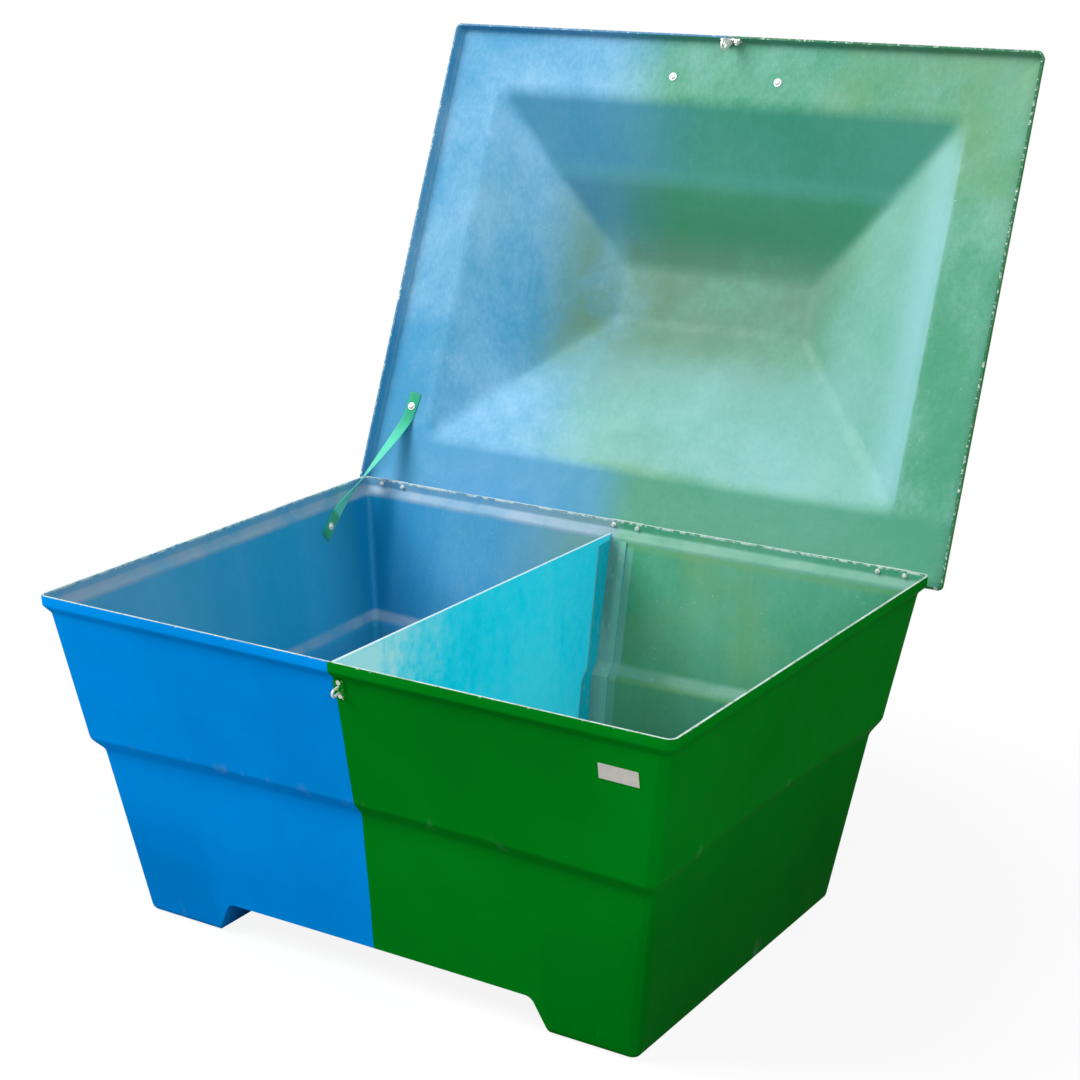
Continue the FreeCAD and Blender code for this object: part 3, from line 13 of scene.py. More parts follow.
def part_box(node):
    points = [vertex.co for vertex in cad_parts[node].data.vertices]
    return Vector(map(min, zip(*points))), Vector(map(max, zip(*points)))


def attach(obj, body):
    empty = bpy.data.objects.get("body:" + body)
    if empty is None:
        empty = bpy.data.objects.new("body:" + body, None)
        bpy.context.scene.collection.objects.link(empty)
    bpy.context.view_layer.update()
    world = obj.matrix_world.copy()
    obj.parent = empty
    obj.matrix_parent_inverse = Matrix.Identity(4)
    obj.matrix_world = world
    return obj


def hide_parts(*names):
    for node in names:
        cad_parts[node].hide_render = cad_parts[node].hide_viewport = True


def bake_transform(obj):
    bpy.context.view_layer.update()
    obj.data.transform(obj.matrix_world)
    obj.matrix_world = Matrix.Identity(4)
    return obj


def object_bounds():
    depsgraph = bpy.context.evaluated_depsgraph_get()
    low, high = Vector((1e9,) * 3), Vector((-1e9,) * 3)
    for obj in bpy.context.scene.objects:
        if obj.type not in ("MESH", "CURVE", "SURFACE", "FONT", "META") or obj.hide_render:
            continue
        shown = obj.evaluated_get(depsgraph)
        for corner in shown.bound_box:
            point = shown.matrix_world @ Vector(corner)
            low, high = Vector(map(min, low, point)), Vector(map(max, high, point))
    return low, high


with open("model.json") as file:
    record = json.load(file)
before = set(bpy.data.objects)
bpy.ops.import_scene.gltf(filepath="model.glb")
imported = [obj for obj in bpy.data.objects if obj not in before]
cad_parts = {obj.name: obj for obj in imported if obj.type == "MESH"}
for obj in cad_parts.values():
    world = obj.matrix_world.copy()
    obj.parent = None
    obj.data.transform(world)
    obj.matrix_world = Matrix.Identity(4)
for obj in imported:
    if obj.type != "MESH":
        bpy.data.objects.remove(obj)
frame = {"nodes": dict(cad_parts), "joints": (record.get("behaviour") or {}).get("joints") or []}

bl_info = {
    "name": "Grit Salt Bin",
    "version": (1, 0, 0),
    "blender": (4, 5, 0),
    "location": "View3D > Sidebar > Grit Bin",
    "description": "Builds the shells, strap, finishes and stage of a two-compartment grit salt bin",
    "category": "Object",
}

CAD_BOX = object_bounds()
TUB_LOW, TUB_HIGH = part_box("tub")
RIM_TOP = TUB_HIGH.z
LID_JOINT = frame["joints"][0]
HINGE = Vector(LID_JOINT["pos_m"])
OPENING = math.radians(LID_JOINT["range_deg"][1])

# Which way the staple's flat face looks, and how far out it lies that way
STAPLE_FACING = Vector((0, -0.978, -0.208)).normalized()
STAPLE_FACE = 0.3189

# The divider's middle lies at x = -(skew * y + shift)
PANEL_SKEW = 0.027
PANEL_SHIFT = 0.0125

# Both sides of the line where the blue gelcoat meets the green
SEAM_EDGE = (-0.0008, 0.0008)

# Spacing of the webbing's yarns across it, and of its picks along it
YARN_PITCH = 0.0021
PICK_PITCH = 0.0026

HINGE_NODES = [f"hinge_{place}_{piece}" for place in ("left", "middle", "right")
               for piece in ("tub_leaf", "lid_leaf", "pin")]
HINGE_FIXINGS = [f"{body}_hinge_{piece}" for body in ("tub", "lid")
                 for piece in ("screws", "washers", "nuts")]
STRAP_FIXINGS = [f"strap_{body}_{piece}" for body in ("tub", "lid")
                 for piece in ("washer", "bolt", "nut")]
LOCK_NODES = ["staple_screws", "staple_nuts", "locking_tab", "tab_bolts", "tab_nuts"]
HANDLE_FIXINGS = ["handle_washers", "handle_bolts"]


def length(name, default, description):
    return FloatProperty(name=name, default=default, description=description, subtype="DISTANCE",
                         unit="LENGTH", precision=4)


def colour(name, default, description):
    return FloatVectorProperty(name=name, default=default, description=description, subtype="COLOR",
                               size=3, min=0, max=1)


class GRITBIN_PG_sizes(bpy.types.PropertyGroup):
    """Sizes of the modelled shells and the strap"""

    laminate: length("Laminate", 0.004, "Thickness of the moulded shells")
    rim_corner: length("Rim Corner", 0.015, "Plan radius of the rim")
    band_height: length("Band Height", 0.018, "Upright band round the rim")
    joggle_height: length("Joggle Height", 0.012, "Step in under the band")
    shoulder_end: length("Shoulder Ends", 0.013, "Ends under the joggle, in from the rim")
    shoulder_face: length("Shoulder Faces", 0.0085, "Front and back under the joggle, in from the rim")
    waist_end: length("Waist Ends", 0.0525, "Ends at the foot of the upper wall, in from the rim")
    waist_face: length("Waist Faces", 0.0445, "Front and back at the foot of the upper wall")
    waist_level: length("Waist Level", 0.326, "Foot of the upper wall above the ground")
    step_level: length("Step Level", 0.304, "Head of the lower wall above the ground")
    step_end: length("Step Ends", 0.067, "Ends at the head of the lower wall, in from the rim")
    step_face: length("Step Faces", 0.0645, "Front and back at the head of the lower wall")
    base_end: length("Base Ends", 0.116, "Ends at the ground, in from the rim")
    base_face: length("Base Faces", 0.116, "Front and back at the ground, in from the rim")
    wall_corner: length("Wall Corner", 0.016, "Plan radius of the walls")
    end_bow: length("End Bow", 0.01, "How far the ends are drawn in at the waist")
    end_bow_top: length("End Bow Top", 0.003, "The same under the joggle")
    face_bow: length("Face Bow", 0.018, "How far the front and back are drawn in at the waist")
    face_bow_top: length("Face Bow Top", 0.006, "The same under the joggle")
    waist_soft: length("Waist Softness", 0.005, "Rounding of the creases round the waist")
    rim_soft: length("Rim Softness", 0.003, "Rounding of the creases under the rim")
    base_soft: length("Base Softness", 0.012, "Rounding of the bottom edge")
    channel_width: length("Channel Width", 0.66, "Fork channel at the ground")
    channel_roof: length("Channel Roof", 0.6, "Fork channel at its roof")
    channel_height: length("Channel Height", 0.06, "Clear height of the fork channel")
    channel_corner: length("Channel Corner", 0.018, "Rounding under the roof of the channel")
    channel_lip: length("Channel Lip", 0.008, "Rounding of the soles beside the channel")
    lid_corner: length("Lid Corner", 0.012, "Plan radius of the lid")
    lid_end_overhang: length("Lid End Overhang", 0.019, "Lid past each end of the rim")
    lid_front_overhang: length("Lid Front Overhang", 0.0364, "Lid in front of the rim")
    lid_back_overhang: length("Lid Back Overhang", 0.0136, "Lid behind the rim")
    seat_gap: length("Seat Gap", 0.0003, "Clearance between the lid and the rim")
    skirt_depth: length("Skirt Depth", 0.022, "Outside depth of the lid's skirt")
    skirt_draft: length("Skirt Draft", 0.003, "How far the skirt leans in at the front and ends")
    lid_edge: length("Lid Edge", 0.008, "Rounding between skirt and margin")
    hip_end_margin: length("Hip End Margin", 0.121, "Flat margin at each end of the hip")
    hip_face_margin: length("Hip Face Margin", 0.117, "Flat margin in front of and behind the hip")
    hip_corner: length("Hip Corner", 0.026, "Plan radius at the foot of the hip")
    crown_width: length("Crown Width", 0.416, "Flat crown, left to right")
    crown_depth: length("Crown Depth", 0.112, "Flat crown, front to back")
    crown_corner: length("Crown Corner", 0.014, "Plan radius of the crown")
    hip_rise: length("Hip Rise", 0.132, "Crown above the margin")
    break_rise: length("Break Rise", 0.058, "Crease round the hip above the margin")
    break_draw: length("Break Draw", 0.016, "How far the front slope is drawn in at that crease")
    hip_soft: length("Hip Softness", 0.009, "Rounding of the foot of the hip")
    crown_soft: length("Crown Softness", 0.022, "Rounding of the crease and the crown")
    strap_width: length("Strap Width", 0.025, "Webbing strap")
    strap_thickness: length("Strap Thickness", 0.0016, "Thickness of the webbing")
    strap_tail: length("Strap Tail", 0.028, "Webbing past each bolt")
    strap_tub_rest: length("Strap Tub Rest", 0.03, "Webbing flat on the wall before it leaves")
    strap_lid_rest: length("Strap Lid Rest", 0.02, "Webbing flat on the lid before the bolt")
    strap_pull: FloatProperty(name="Strap Pull", default=0.3, min=0, max=1,
                              description="Share of the free span that bends to lie flat")
    strap_held: FloatProperty(name="Strap Held", default=0.9, min=0, max=1,
                              description="Share of the free span past which the webbing turns with the lid")
    strap_steps: IntProperty(name="Strap Steps", default=36, min=8,
                             description="Sections along the free span")


class GRITBIN_PG_colours(bpy.types.PropertyGroup):
    """Colours of the finishes"""

    blue_coat: colour("Blue Coat", (0.0, 0.335, 0.98), "Gelcoat of the left half")
    green_coat: colour("Green Coat", (0.0, 0.25, 0.0115), "Gelcoat of the right half")
    inside_blue: colour("Inside Blue", (0.03, 0.28, 0.52), "Bare laminate behind the blue half")
    inside_sky: colour("Inside Sky", (0.3, 0.57, 0.78), "Pale patches behind the blue half")
    inside_green: colour("Inside Green", (0.045, 0.29, 0.15), "Bare laminate behind the green half")
    inside_mint: colour("Inside Mint", (0.27, 0.56, 0.52), "Pale patches behind the green half")
    divider_cyan: colour("Divider Cyan", (0.004, 0.72, 0.92), "Gelcoat of the divider")
    divider_pale: colour("Divider Pale", (0.46, 0.85, 0.9), "Thin places of the divider")
    raw_edge: colour("Raw Edge", (0.62, 0.74, 0.7), "Trimmed edges of the laminate")
    strip: colour("Bonding Strip", (0.11, 0.3, 0.26), "Laminate strips beside the divider")
    webbing: colour("Webbing", (0.0, 0.5, 0.25), "Strap")
    steel: colour("Plated Steel", (0.92, 0.9, 0.86), "Hinges, bolts, screws, nuts and washers")
    handle: colour("Handle", (0.018, 0.018, 0.019), "Moulded handle")
    label: colour("Label", (0.61, 0.59, 0.55), "Bare label plate")
    floor: colour("Floor", (0.32, 0.32, 0.32), "Light that the plain floor throws back")


# Node building for the finishes

class Finish:
    """A material built round one Principled shader."""

    def __init__(self, name, **constants):
        self.material = bpy.data.materials.new(name)
        self.material.use_nodes = True
        self.tree = self.material.node_tree
        self.shader = self.tree.nodes["Principled BSDF"]
        for socket, value in constants.items():
            self.shader.inputs[socket.replace("_", " ")].default_value = value
        self.place = self.node("ShaderNodeTexCoord").outputs["Object"]
        self.colours = bpy.context.scene.gritbin_colours

    def node(self, kind, inputs=None, **settings):
        made = self.tree.nodes.new(kind)
        for key, value in settings.items():
            setattr(made, key, value)
        for key, value in (inputs or {}).items():
            if isinstance(value, bpy.types.NodeSocket):
                self.tree.links.new(value, made.inputs[key])
            else:
                made.inputs[key].default_value = value
        return made

    def noise(self, scale, detail=4.0, roughness=0.5, stretch=None, distortion=0.0):
        """A noise over the place, whose axes may be scaled so that it runs longer along one of them."""
        place = self.place
        if stretch:
            place = self.node("ShaderNodeMapping", {"Vector": place, "Scale": stretch}).outputs[0]
        return self.node("ShaderNodeTexNoise", {
            "Vector": place, "Scale": scale, "Detail": detail, "Roughness": roughness,
            "Distortion": distortion}).outputs["Fac"]

    def axis(self, letter, vector=None):
        return self.node("ShaderNodeSeparateXYZ", {0: vector or self.place}).outputs[letter]

    def facing(self, letter):
        """How far the surface faces along an axis."""
        return self.axis(letter, self.node("ShaderNodeNewGeometry").outputs["Normal"])

    def calc(self, operation, first, second=0.0, clamp=False):
        return self.node("ShaderNodeMath", {0: first, 1: second}, operation=operation,
                         use_clamp=clamp).outputs[0]

    def factor(self, value):
        """A value that comes with its bounds is read as a smooth share between them."""
        return self.between(*value) if isinstance(value, tuple) else value

    def times(self, result, *others):
        """The factors multiplied together."""
        result = self.factor(result)
        for other in others:
            result = self.calc("MULTIPLY", result, self.factor(other))
        return result

    def rest_of(self, share):
        """What a share leaves of one."""
        return self.calc("SUBTRACT", 1.0, share)

    def between(self, value, low, high, start=0.0, end=1.0):
        """The value read as a smooth share between two bounds."""
        return self.node("ShaderNodeMapRange", {
            "Value": value, "From Min": low, "From Max": high, "To Min": start, "To Max": end,
        }, interpolation_type="SMOOTHSTEP").outputs[0]

    def band(self, value, rise, fall):
        """One along a stretch of the value, easing in over the rise and out over the fall."""
        return self.times((value, *rise), (value, *fall))

    def patches(self, noise, low, high, start=0.0, end=1.0):
        """Smooth patches of a noise, which is given by its scale, detail, roughness and stretch."""
        return self.between(self.noise(*noise), low, high, start, end)

    def gloss(self, noise, shiny, dull):
        """A roughness that wanders between two values."""
        return self.patches(noise, 0.3, 0.7, shiny, dull)

    def halves(self, scale, wander, turnover):
        """Nought on the blue half and one on the green, changing over a line that wanders."""
        drift = self.times(self.calc("SUBTRACT", self.noise(scale, 3.0), 0.5), wander)
        return self.between(self.calc("ADD", self.axis("X"), drift), *turnover)

    def beside_panel(self):
        """How far right of the middle of the askew divider a place lies."""
        askew = self.calc("ADD", self.times(self.axis("Y"), PANEL_SKEW), PANEL_SHIFT)
        return self.calc("ADD", self.axis("X"), askew)

    def mix(self, share, *tones, blend_type="MIX"):
        """A colour between two tones, by a share."""
        tones = [tone if isinstance(tone, bpy.types.NodeSocket) else (*tone, 1) for tone in tones]
        inputs = dict(zip((0, 6, 7), (self.factor(share), *tones)))
        return self.node("ShaderNodeMix", inputs, data_type="RGBA", blend_type=blend_type).outputs[2]

    def glaze(self, skin, *layers):
        """The skin with tones laid over it in turn, each by its own share."""
        for share, tone in layers:
            skin = self.mix(share, skin, tone)
        return skin

    def shade(self, skin, share):
        """The skin made darker or lighter."""
        grey = self.node("ShaderNodeCombineColor", {0: share, 1: share, 2: share}).outputs[0]
        return self.mix(1.0, skin, grey, blend_type="MULTIPLY")

    def bump(self, height, distance, strength=1.0, normal=None):
        below = {"Normal": normal} if normal else {}
        return self.node("ShaderNodeBump", {
            "Height": height, "Distance": distance, "Strength": strength, **below}).outputs[0]

    def orange_peel(self, scale, height):
        """The slow ripple of a moulded face, with the fine peel of its gelcoat."""
        ripple = self.bump(self.noise(scale, 2.0, 0.4), height, 0.35)
        return self.bump(self.noise(320.0, 2.0, 0.5), 0.00012, 0.6, ripple)

    def feed(self, socket, value):
        self.tree.links.new(value, self.shader.inputs[socket])

    def paint(self, base, roughness=None, normal=None):
        for socket, value in (("Base Color", base), ("Roughness", roughness), ("Normal", normal)):
            if value is not None:
                self.feed(socket, value)
        return self.material


def coat_of_halves(name, specular, seam, clouds, darkest):
    """Gelcoat, blue left of the middle and green right of it, with faint clouds."""
    made = Finish(name, Specular_IOR_Level=specular, IOR=1.5)
    coat = made.mix(made.halves(*seam, SEAM_EDGE), made.colours.blue_coat, made.colours.green_coat)
    return made, made.shade(coat, made.patches((clouds, 5, 0.6), 0.3, 0.75, darkest, 1.06))


def gelcoat():
    """The tub's outside: painted shade towards the ground and on the lower wall of the right end, scuffed at
    the waist, chipped along the sawn rim.
    """
    waist = bpy.context.scene.gritbin_sizes.waist_level
    made, coat = coat_of_halves("gelcoat", 0.0006, (9, 0.004), 3.2, 0.9)
    level = made.axis("Z")
    # Painted shade: the outside is made darker towards the ground, and darker still on the lower wall of the
    # right end.
    right_low_shade = made.times((made.facing("X"), 0.6, 0.9), (level, 0.32, 0.29, 0, 0.17))
    coat = made.shade(coat, made.calc("SUBTRACT", made.between(level, 0.1, 0.33, 0.86, 1), right_low_shade))
    crest = made.band(level, (waist - 0.017, waist - 0.002), (waist + 0.019, waist))
    foot = made.between(level, 0.05, 0)
    wear = made.calc("MAXIMUM", made.times(crest, 0.55), made.times(foot, 0.8))
    scuffs = made.times(made.patches((26, 6, 0.65, (1, 1, 0.16)), 0.56, 0.72), wear, 0.32)
    chips = made.times((level, RIM_TOP - 0.0025, RIM_TOP - 0.0005), made.patches((95, 3, 0.6), 0.6, 0.66))
    coat = made.glaze(coat, (scuffs, (0.33, 0.42, 0.42)), (chips, made.colours.raw_edge))
    shine = made.gloss((14, 6, 0.6), 0.3, 0.42)
    return made.paint(coat, shine, made.orange_peel(5.5, 0.0035))


def lid_coat():
    """The lid's outside, of the same two halves, with faint rain streaks."""
    made, coat = coat_of_halves("lid_gelcoat", 0.006, (7, 0.006), 2.6, 0.88)
    rain = made.patches((30, 6, 0.65, (1, 0.3, 0.12)), 0.58, 0.74)
    coat = made.mix(made.times(rain, 0.1), coat, (0.42, 0.46, 0.44))
    shine = made.gloss((11, 6, 0.6), 0.28, 0.44)
    return made.paint(coat, shine, made.orange_peel(4.5, 0.004))


def bare_laminate(name, pale, streak, turnover):
    """Bare laminate inside a shell: the coat shows through resin and glass, pale where it is thin."""
    made = Finish(name, Specular_IOR_Level=0.16, IOR=1.52)
    side = made.halves(2.3, 0.3, turnover)
    deep = made.mix(side, made.colours.inside_blue, made.colours.inside_green)
    thin = made.mix(side, made.colours.inside_sky, made.colours.inside_mint)
    streaks = made.noise(7, 7, 0.62, streak, 0.35)
    clouds = made.noise(2.4, 5, 0.55)
    strands = made.noise(120, 4, 0.7, (1, 1, 0.45))
    thinning = made.calc("ADD", made.times(streaks, 0.45), made.times(clouds, 0.55))
    thinning = made.calc("ADD", thinning, made.times(made.calc("SUBTRACT", strands, 0.5), 0.16))
    skin = made.mix((thinning, 0.36, 0.66, *pale), deep, thin)
    olive = made.times(made.patches((3.1, 5, 0.6, (1, 1, 0.7)), 0.48, 0.7),
                       (made.axis("X"), -0.2, -0.02, 0.08, 0.45))
    lilac = made.patches((38, 5, 0.7), 0.55, 0.75, 0, 0.12)
    pits = made.patches((210, 2, 0.5), 0.72, 0.76, 0, 0.35)
    skin = made.glaze(skin, (olive, (0.16, 0.33, 0.12)), (lilac, (0.34, 0.4, 0.46)),
                      (pits, (0.66, 0.74, 0.74)))
    shine = made.gloss((24, 6, 0.65), 0.32, 0.52)
    weave = made.bump(made.noise(150, 5, 0.7), 0.0006, 0.5)
    swell = made.bump(made.noise(11, 4, 0.6), 0.004, 0.45, weave)
    return made, skin, shine, swell


def tub_inside():
    """Inside of the tub: slate and darker towards the bottom, painted shade in the back corner of the left
    end, pale worn ledges, whitish under the sawn rim.
    """
    made, skin, shine, swell = bare_laminate("tub_inside", (0, 0.26), (1, 1, 0.22), (-0.22, 0))
    level, across, depth = made.axis("Z"), made.axis("X"), made.axis("Y")
    right = made.between(across, -0.03, 0)
    slate = made.times((across, -0.34, -0.05, 0, 0.8), made.rest_of(right))
    left_end = made.between(across, -0.49, -0.54, 0, 0.6)
    left_tone = made.mix((depth, 0.12, -0.3), (0, 0.36, 0.6), (0.09, 0.42, 0.66))
    # Darker towards the bottom.
    darker_below = made.times((level, 0.34, 0.05), 0.52)
    darker_below_tone = made.mix(right, (0.055, 0.2, 0.3), (0.018, 0.18, 0.085))
    # Painted shade in the back corner of the left end, beside the left wall.
    back_corner_shade = made.times((across, -0.5, -0.53), (depth, 0.22, 0.42), 0.6)
    back_wall = made.times((across, -0.34, -0.52), (depth, 0.37, 0.4), 0.55)
    fringe = made.times(made.calc("MAXIMUM", made.band(level, (0.532, 0.541), (0.552, 0.545)),
                                  made.band(level, (0.298, 0.304), (0.315, 0.308))), right, 0.35)
    high = made.band(level, (0.544, 0.553), (0.571, 0.565))
    lip = made.times((level, 0.562, 0.568), made.calc("SUBTRACT", 0.55, right, True))
    low = made.band(level, (0.308, 0.316), (0.333, 0.324))
    ledges = made.calc("MAXIMUM", made.calc("MAXIMUM", high, lip), made.times(low, 0.8))
    ledges = made.times(ledges, made.patches((13, 5, 0.6), 0.3, 0.6, 0.35, 0.85))
    ledge_tone = made.mix(right, (0.3, 0.42, 0.53), (0.2, 0.42, 0.33))
    tape = made.times(made.band(made.beside_panel(), (0.02, 0.028), (0.054, 0.049)),
                      (level, 0.546, 0.536), (depth, 0.24, 0.28),
                      made.patches((16, 6, 0.6, (1, 1, 0.25)), 0.35, 0.65, 0.45, 0.8))
    rim = made.times((level, RIM_TOP - 0.0055, RIM_TOP - 0.001), made.patches((75, 4, 0.6), 0.42, 0.58))
    skin = made.glaze(skin, (slate, (0.16, 0.32, 0.325)), (left_end, left_tone), (darker_below, darker_below_tone),
                      (back_corner_shade, (0, 0.16, 0.27)), (back_wall, (0, 0.23, 0.52)),
                      (fringe, (0.17, 0.35, 0.13)), (ledges, ledge_tone), (tape, (0.2, 0.42, 0.37)),
                      (rim, made.colours.raw_edge))
    return made.paint(skin, shine, swell)


def lid_inside():
    """Inside of the lid: chalky margins, a crown darkened partly by dirt and partly as painted shade,
    painted shade on the slope towards the lid's front and on the margin by the hinge, and painted light on
    the right and back slopes.
    """
    made, skin, shine, swell = bare_laminate("lid_inside", (0.05, 0.8), (0.55, 1, 0.32), (-0.3, -0.08))
    turn = Matrix.Rotation(OPENING, 3, "X")
    closed = made.node("ShaderNodeMapping", {
        "Vector": made.place, "Location": -(turn @ HINGE), "Rotation": (OPENING, 0, 0)}).outputs[0]
    height, depth, across = made.axis("Z", closed), made.axis("Y", closed), made.axis("X")
    sloping = made.between(height, 0.0195, 0.028)
    # Painted light on the right slope, which faces the light from the left when the lid stands open.
    right = made.times((across, 0.22, 0.36), sloping, 0.45)
    rib = made.times(made.band(across, (0.385, 0.485), (0.501, 0.494)),
                     made.band(depth, (-0.1, -0.16), (-0.83, -0.74)), 0.55)
    # The crown is darker, partly from dirt and partly as painted shade.
    crown = made.times(made.patches((6, 6, 0.65), 0.34, 0.6, 0.45, 0.95),
                       (height, 0.062, 0.135), (across, 0.4, 0.16))
    crown_left = made.between(made.calc("ABSOLUTE", made.calc("ADD", across, 0.14)), 0.11, 0.03)
    stain = made.times(crown_left, (height, 0.055, 0.105), 0.32)
    corner = made.times((across, 0.44, 0.52), (depth, -0.5, -0.85), 0.38)
    narrowing = made.calc("SUBTRACT", made.calc("ABSOLUTE", across), made.times(depth, -0.95))
    # Painted shade on the front slope, which faces down when the lid stands open.
    front = made.times((depth, -0.5, -0.62), sloping, (narrowing, -0.27, -0.31))
    above = made.mix((across, -0.22, 0.02), (0.03, 0.21, 0.34), (0.02, 0.225, 0.155))
    below = made.mix((across, -0.3, -0.06), (0.02, 0.17, 0.28), (0.012, 0.21, 0.095))
    front_shade_tone = made.mix((height, 0.066, 0.084), above, below)
    # Painted highlight along the crease of the front slope.
    crease_highlight = made.times(made.band(height, (0.064, 0.075), (0.088, 0.077)), front, 0.2)
    # Painted light on the back slope, which faces up when the lid stands open.
    back = made.times((depth, -0.4, -0.3), sloping, made.band(across, (-0.42, -0.15), (0.45, 0.25)), 0.4)
    # Painted shade along the margin by the hinge, close in behind the tub's back.
    hinge_side_shade = made.times((depth, -0.125, -0.095), 0.8)
    hinge_shade_tone = made.mix((across, -0.12, 0), (0.06, 0.3, 0.52), (0.06, 0.29, 0.18))
    skin = made.glaze(skin, (right, (0.22, 0.49, 0.42)), (rib, (0.3, 0.61, 0.67)),
                      (crown, (0.118, 0.262, 0.175)), (stain, (0.1, 0.2, 0.14)),
                      (corner, (0.13, 0.33, 0.15)), (made.times(front, 0.74), front_shade_tone),
                      (crease_highlight, (0.13, 0.42, 0.42)), (back, (0.23, 0.49, 0.52)), (hinge_side_shade, hinge_shade_tone))
    return made.paint(skin, shine, swell)


def trimmed_edge(name, specks):
    """Sawn edge of the laminate: chalky, with resin and glass showing in specks."""
    made = Finish(name, Specular_IOR_Level=0.2)
    grain = made.patches((130, 5, 0.7), *specks)
    skin = made.mix((made.axis("X"), -0.02, 0.02), (0.06, 0.22, 0.4), (0.03, 0.17, 0.08))
    stain = made.patches((16, 4, 0.6), 0.45, 0.7, 1, 0.55)
    edge = made.mix(made.times(grain, stain), skin, made.colours.raw_edge)
    return made.paint(edge, made.between(grain, 0, 1, 0.55, 0.8),
                      made.bump(made.noise(260, 4, 0.7), 0.0008, 0.8))


def divider_coat():
    """The divider: cyan, paler towards the front of its right face, with a painted glow in place of light
    through the thin panel, and a sawn top edge.
    """
    # The emission strength sets the panel's painted glow.
    made = Finish("divider_coat", Specular_IOR_Level=0.08, Emission_Strength=0.27)
    depth, up = made.axis("Y"), made.facing("Z")
    streaks = made.noise(6, 6, 0.6, (1, 1.4, 0.3), 0.5)
    blotches = made.calc("ADD", made.times(streaks, 0.5), made.times(made.noise(3, 4, 0.5), 0.5))
    mottle = made.times(made.calc("SUBTRACT", made.noise(48, 5, 0.65), 0.5), 0.35)
    blotches = made.calc("ADD", blotches, mottle)
    front = made.calc("ADD", made.between(depth, -0.06, -0.31), 0.13)
    share = made.calc("MULTIPLY", front, made.between(blotches, 0.33, 0.64), True)
    left = made.between(made.facing("X"), -0.3, -0.7)
    skin = made.mix(share, made.colours.divider_cyan, made.colours.divider_pale)
    skin = made.glaze(skin, (made.between(blotches, 0.44, 0.3, 0, 0.35), (0, 0.52, 0.76)),
                      (made.times((depth, 0.15, 0.42), 0.35), (0.03, 0.33, 0.42)),
                      (made.times(left, 0.7), made.colours.inside_blue))
    grain = made.patches((150, 4, 0.7), 0.3, 0.6, 0.55, 1)
    skin = made.mix(made.times((up, 0.6, 0.8), grain), skin, (0.66, 0.77, 0.78))
    # Painted glow: the panel gives off its own light in place of light coming through the thin laminate,
    # less on its left face and none on its top edge.
    painted_glow = made.mix(share, (0, 0.58, 0.98), (0.34, 0.82, 0.98))
    painted_glow = made.glaze(painted_glow, (left, (0, 0.1, 0.2)), (made.between(up, 0.5, 0.7), (0, 0, 0)))
    made.feed("Emission Color", painted_glow)
    shine = made.gloss((20, 6, 0.6), 0.22, 0.4)
    return made.paint(skin, shine, made.bump(made.noise(9, 3, 0.5), 0.0025, 0.35))


def bonding_strip():
    """Laminate tape beside the divider: murky in the corner, pale and glassy along its free edge."""
    made = Finish("bonding_strip", Specular_IOR_Level=0.18)
    aside = made.beside_panel()
    on_panel = made.between(made.facing("X"), 0.45, 0.7)
    on_wall = made.rest_of(on_panel)
    deep = made.mix((aside, -0.002, 0.002), (0.09, 0.33, 0.47),
                    made.mix(on_panel, made.colours.strip, (0, 0.52, 0.74)))
    wet = made.times(made.patches((9, 6, 0.65, (1.5, 1.5, 0.2), 0.4), 0.42, 0.7, 0, 0.65), on_wall)
    free = made.times((aside, 0.014, 0.03), on_wall, 0.75)
    strands = made.patches((140, 4, 0.7, (1, 1, 0.35)), 0.56, 0.72, 0, 0.3)
    skin = made.glaze(deep, (wet, (0.24, 0.48, 0.44)), (free, (0.23, 0.5, 0.38)),
                      (strands, (0.5, 0.64, 0.62)))
    shine = made.gloss((30, 5, 0.6), 0.24, 0.46)
    weave = made.bump(made.noise(160, 5, 0.7), 0.0008, 0.6)
    return made.paint(skin, shine, made.bump(made.noise(18, 4, 0.6), 0.004, 0.5, weave))


def woven_webbing():
    """Green polyester webbing: ribs across the strap and yarns along it, with a selvedge."""
    made = Finish("woven_webbing", Specular_IOR_Level=0.35, Sheen_Weight=0.35, Sheen_Roughness=0.4)
    route = made.node("ShaderNodeAttribute", attribute_name="route").outputs["Vector"]
    along, across = made.axis("X", route), made.axis("Y", route)
    yarn = made.calc("SINE", made.times(across, 2 * math.pi / YARN_PITCH))
    pick = made.calc("SINE", made.times(along, 2 * math.pi / PICK_PITCH))
    weave = made.times(yarn, pick)
    selvedge = made.between(made.calc("ABSOLUTE", across), 0.0098, 0.0112)
    fade = made.patches((24, 4, 0.6), 0.4, 0.72, 0, 0.3)
    # Painted light: a lighter mint along the lower part of the free span, where the twisted webbing turns
    # away from the lamps.
    painted_light_stretch = made.band(along, (0.054, 0.066), (0.34, 0.24))
    tone = made.mix((weave, -0.6, 0.8), (0, 0.27, 0.13), made.colours.webbing)
    tone = made.glaze(tone, (made.times(selvedge, 0.35), (0.02, 0.52, 0.32)), (fade, (0.06, 0.6, 0.38)),
                      (made.times(painted_light_stretch, 0.85), (0.1, 0.76, 0.54)))
    shine = made.gloss((200, 3, 0.6), 0.48, 0.72)
    return made.paint(tone, shine, made.bump(weave, 0.00035, 0.8))


